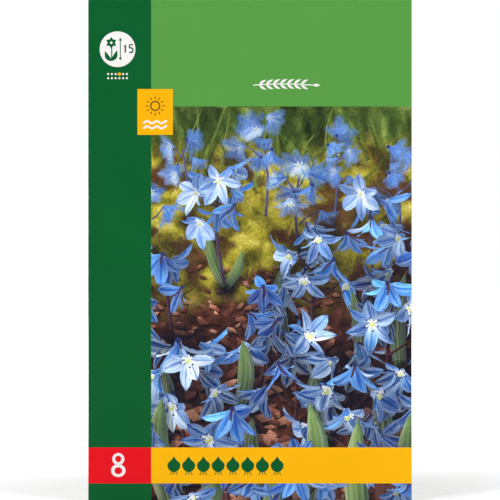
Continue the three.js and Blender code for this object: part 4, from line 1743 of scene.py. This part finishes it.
def film_grid(shares):
    """The film's middle surface, down the front, under the bulbs and up the back, as rows of points."""
    low = np.arange(FOOT_ROUNDING, BULBS_UNDER, FILM_ROW)
    high = np.linspace(low[-1], FLAT_FROM, HIGH_ROWS)[1:]
    heights = np.concatenate([low, high])
    depths = taut_back(shares, heights)
    parted = smooth(0, 0.06, UNWELDED_SHARE - np.abs(shares))
    front = FILM_SEAL_Y - WELD_HALF_GAP + (FILM_FRONT_Y - FILM_SEAL_Y + WELD_HALF_GAP) * parted
    back = FILM_SEAL_Y + WELD_HALF_GAP + (FILM_BACK_Y - FILM_SEAL_Y - WELD_HALF_GAP) * parted
    rows = []
    floor_z = FILM_HALF_THICKNESS + FLOOR_GAP
    for z in np.linspace(BAG_TOP, FOOT_ROUNDING / 2, FRONT_ROWS):
        rows.append(np.column_stack([shares * bag_half_width(z), front, np.full(len(shares), z)]))
    deep = np.maximum(depths[0] + back - front, 0.05)
    turn = np.minimum(FOOT_ROUNDING, deep)
    x = shares * bag_half_width(0.0)
    for share in np.linspace(0, 1, UNDER_ROWS):
        rows.append(np.column_stack([x, front + (deep - turn) * share, np.full(len(x), floor_z)]))
    for angle in np.linspace(0, math.pi / 2, BEND_ROWS)[1:]:
        y = front + deep - turn + turn * math.sin(angle)
        z = floor_z + turn * (1 - math.cos(angle))
        rows.append(np.column_stack([shares * bag_half_width(z), y, z]))
    first = len(rows) + 1
    for z, depth in zip(heights, depths):
        if z == heights[0]:
            z = z + 0.4
        rows.append(np.column_stack([shares * bag_half_width(z), back + depth, np.full(len(shares), z)]))
    for z in np.linspace(FLAT_FROM, BAG_TOP, MOUTH_ROWS)[1:]:
        rows.append(np.column_stack([shares * bag_half_width(z), back, np.full(len(shares), z)]))
    return np.array(rows), first


def welded(points, triangles):
    """Joins points at the same place, and drops the triangles that this closes up."""
    _, first, joined = np.unique(np.round(points, 3), axis=0, return_index=True, return_inverse=True)
    triangles = first[joined.ravel()][triangles]
    open_ones = triangles[:, 0] != triangles[:, 1]
    open_ones &= (triangles[:, 1] != triangles[:, 2]) & (triangles[:, 2] != triangles[:, 0])
    used, compact = np.unique(triangles[open_ones], return_inverse=True)
    return points[used], compact.reshape(-1, 3), used


FILM_SIDE = 0.475
FILM_SIDE_STEP = 0.483
EDGE_COLUMNS = 3
EDGE_FROM, EDGE_WIDTH = 0.968, 0.0095


def map_film(bag, shares, ups, side_corners):
    """Lays the film out flat: its outer side, its inner side, then each cut edge in a cell of its own."""
    corners = corners_in(bag)
    across, up = MAP_LOW + FILM_SIDE * shares[corners], ups[corners]
    inner = slice(side_corners, 2 * side_corners)
    across[inner] = MAP_LOW + FILM_SIDE_STEP + FILM_SIDE * (1 - shares[corners[inner]])
    edges = (len(corners) - 2 * side_corners) // 4
    row, column = np.divmod(np.arange(edges), EDGE_COLUMNS)
    cell = 1 / (row[-1] + 1)
    wide, tall = np.array([0, 0, 0.8, 0.8]), np.array([0.9, 0, 0, 0.9])
    across[2 * side_corners :] = (EDGE_FROM + EDGE_WIDTH * (column[:, None] + wide)).ravel()
    up[2 * side_corners :] = (cell * (row[:, None] + tall)).ravel()
    add_flat_map(bag, across, up)


def vent_outlines(grid, first, shares):
    """Each vent's outline on the front and the back, in columns and rows of the film's grid."""
    columns = np.arange(len(shares))
    front_heights = grid[:FRONT_ROWS, 0, 2]
    back_heights = grid[first:, 0, 2]
    outlines = []
    for x, z in [(x, z) for x in VENT_COLUMNS for z in VENT_ROWS]:
        for front in (True, False):
            ring = []
            for px, pz in circle((x, z), VENT_RADIUS, VENT_SIDES):
                column = np.interp(px / float(bag_half_width(pz)), shares, columns)
                if front:
                    row = np.interp(-pz, -front_heights, np.arange(len(front_heights)))
                else:
                    row = first + np.interp(pz, back_heights, np.arange(len(back_heights)))
                ring.append((column, row))
            outlines.append(np.array(ring))
    return outlines


def make_bag(film):
    """The film bag: one thin closed shell with its vents cut through front and back."""
    between = np.linspace(-UNWELDED_SHARE, UNWELDED_SHARE, BAG_COLUMNS + 1)
    seal = np.linspace(UNWELDED_SHARE, 1, 4)[1:]
    shares = np.concatenate([-seal[::-1], between, seal])
    grid, first = film_grid(shares)
    rows, columns = grid.shape[:2]
    edges = [[(0, 0), (0, rows - 1)], [(columns - 1, 0), (columns - 1, rows - 1)]]
    edges += [[(0, 0), (columns - 1, 0)], [(0, rows - 1), (columns - 1, rows - 1)]]
    vents = vent_outlines(grid, first, shares)
    for ring in vents:
        edges += [[tuple(a), tuple(b)] for a, b in zip(ring, np.roll(ring, -1, axis=0))]
    places = np.array([(c, r) for r in range(rows) for c in range(columns)], float)
    clear = np.ones(len(places), bool)
    for ring in vents:
        centre, reach = ring.mean(axis=0), np.ptp(ring, axis=0) / 2
        near = (np.abs(places - centre) < reach + VENT_MARGIN).all(axis=1)
        scaled = (places[near] - centre) / (reach + VENT_MARGIN)
        clear[np.flatnonzero(near)[(scaled**2).sum(axis=1) < 1]] = False
    ends = [Vector(p) for edge in edges for p in edge]
    pairs = [(2 * i, 2 * i + 1) for i in range(len(edges))]
    spots = ends + [Vector(p) for p in places[clear]]
    flat, _, triangles, _, _, _ = delaunay_2d_cdt(spots, pairs, [], 0, 1e-5, False)
    flat = np.array([tuple(p) for p in flat])
    triangles = np.array(triangles)
    middle = flat[triangles].mean(axis=1)
    kept = np.ones(len(triangles), bool)
    for ring in vents:
        near = (np.abs(middle - ring.mean(axis=0)) < np.ptp(ring, axis=0)).all(axis=1)
        kept[np.flatnonzero(near)[inside_outline(ring, middle[near])]] = False
    triangles = triangles[kept]
    points, triangles, used = welded(sample(grid, flat[:, 1], flat[:, 0]), triangles)
    flat = flat[used]
    corners = points[triangles]
    normals = np.cross(corners[:, 1] - corners[:, 0], corners[:, 2] - corners[:, 0])
    if normals[(flat[triangles, 1] < FRONT_ROWS - 1).all(axis=1), 1].mean() > 0:
        triangles, normals = triangles[:, ::-1], -normals
    ways = np.zeros_like(points)
    for corner in range(3):
        np.add.at(ways, triangles[:, corner], normals)
    ways /= np.linalg.norm(ways, axis=1)[:, None]
    count = len(points)
    vertices = np.concatenate([points + ways * FILM_HALF_THICKNESS, points - ways * FILM_HALF_THICKNESS])
    faces = [tuple(f) for f in triangles] + [tuple(f + count) for f in triangles[:, ::-1]]
    faces += [(b, a, a + count, b + count) for a, b in rim_of(triangles)]
    bag = new_piece("film_bag", vertices, faces, [film], smooth_faces=True)
    lengths = np.append(0, np.cumsum(np.linalg.norm(np.diff(grid[:, columns // 2], axis=0), axis=1)))
    down = np.interp(flat[:, 1], np.arange(rows), lengths)
    share = np.interp(flat[:, 0], np.arange(columns), shares)
    in_weld = np.abs(share) > UNWELDED_SHARE
    film_place = np.column_stack([share * BAG_HALF_WIDTH, down, in_weld]) * [MM, MM, 1]
    attribute = bag.data.attributes.new("film_place", "FLOAT_VECTOR", "POINT")
    attribute.data.foreach_set("vector", np.tile(film_place, (2, 1)).astype(np.float32).ravel())
    map_film(bag, np.tile(share, 2) / 2 + 0.5, np.tile(1 - down / lengths[-1], 2), len(triangles) * 3)
    return bag


def film_material():
    """Thin clear film: it mirrors a little, more at a slant, and its creases and welds show milky."""
    material, t, shader = new_material("clear_film")
    place = t.object_place()
    own = t.attribute("film_place")
    x, down, _ = t.parts(own)
    to_weld = t.minus(t.math("ABSOLUTE", x), (BAG_HALF_WIDTH - BAG_SEAL) * MM)
    weld = t.range(to_weld, -0.0001, 0.0002)
    crimp = t.times(t.math("SINE", t.times(down, 2 * math.pi / 0.0011)), weld)
    slack = t.noise(own, 95.0, 2.0, 0.5)
    fine = t.noise(place, 420.0, 1.0, 0.5)
    tall = t.node("ShaderNodeMapping", Scale=(1.0, 0.34, 1.0))
    t.set(tall, "Vector", own)
    facets = t.node("ShaderNodeTexVoronoi", {"feature": "DISTANCE_TO_EDGE"}, Scale=62.0)
    t.set(facets, "Vector", tall.outputs[0])
    crackle = t.range(facets.outputs["Distance"], 0.0, 0.05, 1.0, 0.0)
    crinkle = t.times(crackle, t.range(slack, 0.5, 0.62))
    height = t.plus(t.times(slack, 0.7), t.times(fine, 0.1))
    height = t.plus(height, t.times(crimp, 0.06))
    height = t.plus(height, t.times(crinkle, 0.06))
    creased = t.bump(height, 0.8, 0.0016)
    slant = t.node("ShaderNodeLayerWeight", Blend=0.4, Normal=creased).outputs["Facing"]
    milky = t.plus(t.times(weld, 0.06), t.times(t.math("ABSOLUTE", crimp), 0.05))
    outline = t.times(t.math("POWER", slant, 6.0), 0.45)
    seen = t.plus(t.plus(0.022, t.times(slant, 0.2)), outline)
    t.set(shader, "Alpha", t.plus(seen, milky, clamp=True))
    t.set(shader, "Roughness", t.range(fine, 0.3, 0.7, 0.04, 0.12))
    t.set(shader, "Base Color", t.blend(fine, colour4(srgb(236, 240, 242)), colour4(srgb(250, 252, 253))))
    t.set(shader, "Normal", creased)
    shader.inputs["Metallic"].default_value = 0.8
    return material


bag = make_bag(film_material())
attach(bag, "root")
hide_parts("bag")


# ------------------------------------------------------------------ glue strips


def glue_material():
    """Hot-melt glue: cloudy amber with small bubbles."""
    material, t, shader = new_material("hot_melt_glue")
    place = t.object_place()
    cloudy = t.noise(place, 240.0, 4.0, 0.6)
    bubble = t.node("ShaderNodeTexVoronoi", Scale=1500.0)
    t.set(bubble, "Vector", place)
    small = t.range(bubble.outputs["Distance"], 0.1, 0.25, 1.0, 0.0)
    base = t.blend(cloudy, colour4(srgb(214, 198, 150)), colour4(srgb(238, 230, 202)))
    t.set(shader, "Base Color", t.blend(t.times(small, 0.4), base, colour4(srgb(250, 246, 232))))
    t.set(shader, "Roughness", t.range(cloudy, 0.3, 0.7, 0.28, 0.5))
    t.set(shader, "Normal", t.bump(t.plus(cloudy, small), 0.4, 0.0001))
    return material


glue = glue_material()
for name in ("glue_front", "glue_back"):
    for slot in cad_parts[name].material_slots:
        slot.material = glue


# ------------------------------------------------------------------ floor, light and camera

LENS = 150.0
SENSOR = 36.0
# The share of the card's height that the frame takes in.
SHOWN_SHARE = 0.996

ROOM_LIGHT = 0.27

# How much brighter the camera sees the floor than it is: little round the packet, so that its shadow
# shows, and more further off, where the floor meets the white background.
FLOOR_LIFT_NEAR = 0.12
FLOOR_LIFT_FAR = 0.9
FLOOR_NEAR = 0.08
FLOOR_FAR = 0.4

# Soft boxes: name, place in metres, width and height in metres, power in watts.
LAMPS = [
    ("left_box", (-1.1, -1.0, 1.0), (0.8, 0.8), 17.0),
    ("right_box", (1.2, -0.9, 0.8), (0.6, 0.9), 11.5),
    ("back_strip", (0.75, 1.15, 0.75), (0.14, 1.3), 6.0),
    ("back_box", (-0.3, 1.5, 1.2), (2.2, 1.6), 16.0),
]


def make_lamp(name, place, size, power):
    """A soft box that looks at the packet."""
    light = bpy.data.lights.new(name, "AREA")
    light.shape = "RECTANGLE"
    light.size, light.size_y = size
    light.energy = power
    lamp = bpy.data.objects.new(name, light)
    bpy.context.scene.collection.objects.link(lamp)
    lamp.location = place
    aim = Vector((0, 0, CARD_TOP / 2 * MM)) - Vector(place)
    lamp.rotation_euler = aim.to_track_quat("-Z", "Y").to_euler()


def floor_material():
    """White studio paper, which the camera sees as bright as the white behind it."""
    material = board_material("floor_paper", srgb(242, 242, 242))
    t = Tree(material.node_tree)
    shader = material.node_tree.nodes["Principled BSDF"]
    shader.inputs["Emission Color"].default_value = (1, 1, 1, 1)
    shader.inputs["Specular IOR Level"].default_value = 0.1
    seen = t.node("ShaderNodeLightPath").outputs["Is Camera Ray"]
    away = t.node("ShaderNodeVectorMath", {"operation": "LENGTH"})
    t.set(away, 0, t.object_place())
    lift = t.range(away.outputs["Value"], FLOOR_NEAR, FLOOR_FAR, FLOOR_LIFT_NEAR, FLOOR_LIFT_FAR)
    t.set(shader, "Emission Strength", t.times(seen, lift))
    return material


def make_studio():
    """A pale floor, a soft even light, and a camera square to the printed side."""
    floor = new_piece(
        "floor",
        [(-4000, -4000, 0), (4000, -4000, 0), (4000, 4000, 0), (-4000, 4000, 0)],
        [(0, 1, 2, 3)],
        [floor_material()],
    )
    for leftover in ("Cube", "Light", "Camera"):
        if leftover in bpy.data.objects:
            bpy.data.objects.remove(bpy.data.objects[leftover])
    world = bpy.data.worlds.new("studio")
    bpy.context.scene.world = world
    world.use_nodes = True
    sky = Tree(world.node_tree)
    surroundings = world.node_tree.nodes["Background"]
    surroundings.inputs["Color"].default_value = (1, 1, 1, 1)
    surroundings.inputs["Strength"].default_value = ROOM_LIGHT
    bright = sky.node("ShaderNodeBackground", Strength=1.0)
    bright.inputs["Color"].default_value = (1, 1, 1, 1)
    seen = sky.node("ShaderNodeLightPath").outputs["Is Camera Ray"]
    mixed = sky.node("ShaderNodeMixShader")
    sky.set(mixed, 0, seen)
    sky.set(mixed, 1, surroundings.outputs[0])
    sky.set(mixed, 2, bright.outputs[0])
    sky.set(world.node_tree.nodes["World Output"], "Surface", mixed.outputs[0])
    for name, place, size, power in LAMPS:
        make_lamp(name, place, size, power)
    bpy.context.scene.view_settings.view_transform = "Standard"
    camera = bpy.data.objects.new("camera", bpy.data.cameras.new("camera"))
    bpy.context.scene.collection.objects.link(camera)
    bpy.context.scene.camera = camera
    camera.data.lens = LENS
    camera.data.sensor_width = SENSOR
    away = LENS * CARD_TOP * SHOWN_SHARE / SENSOR
    camera.location = (0, (FRONT_Y - away) * MM, CARD_TOP / 2 * MM)
    camera.rotation_euler = (math.radians(90), 0, 0)
    camera.data.clip_start = 0.01


make_studio()
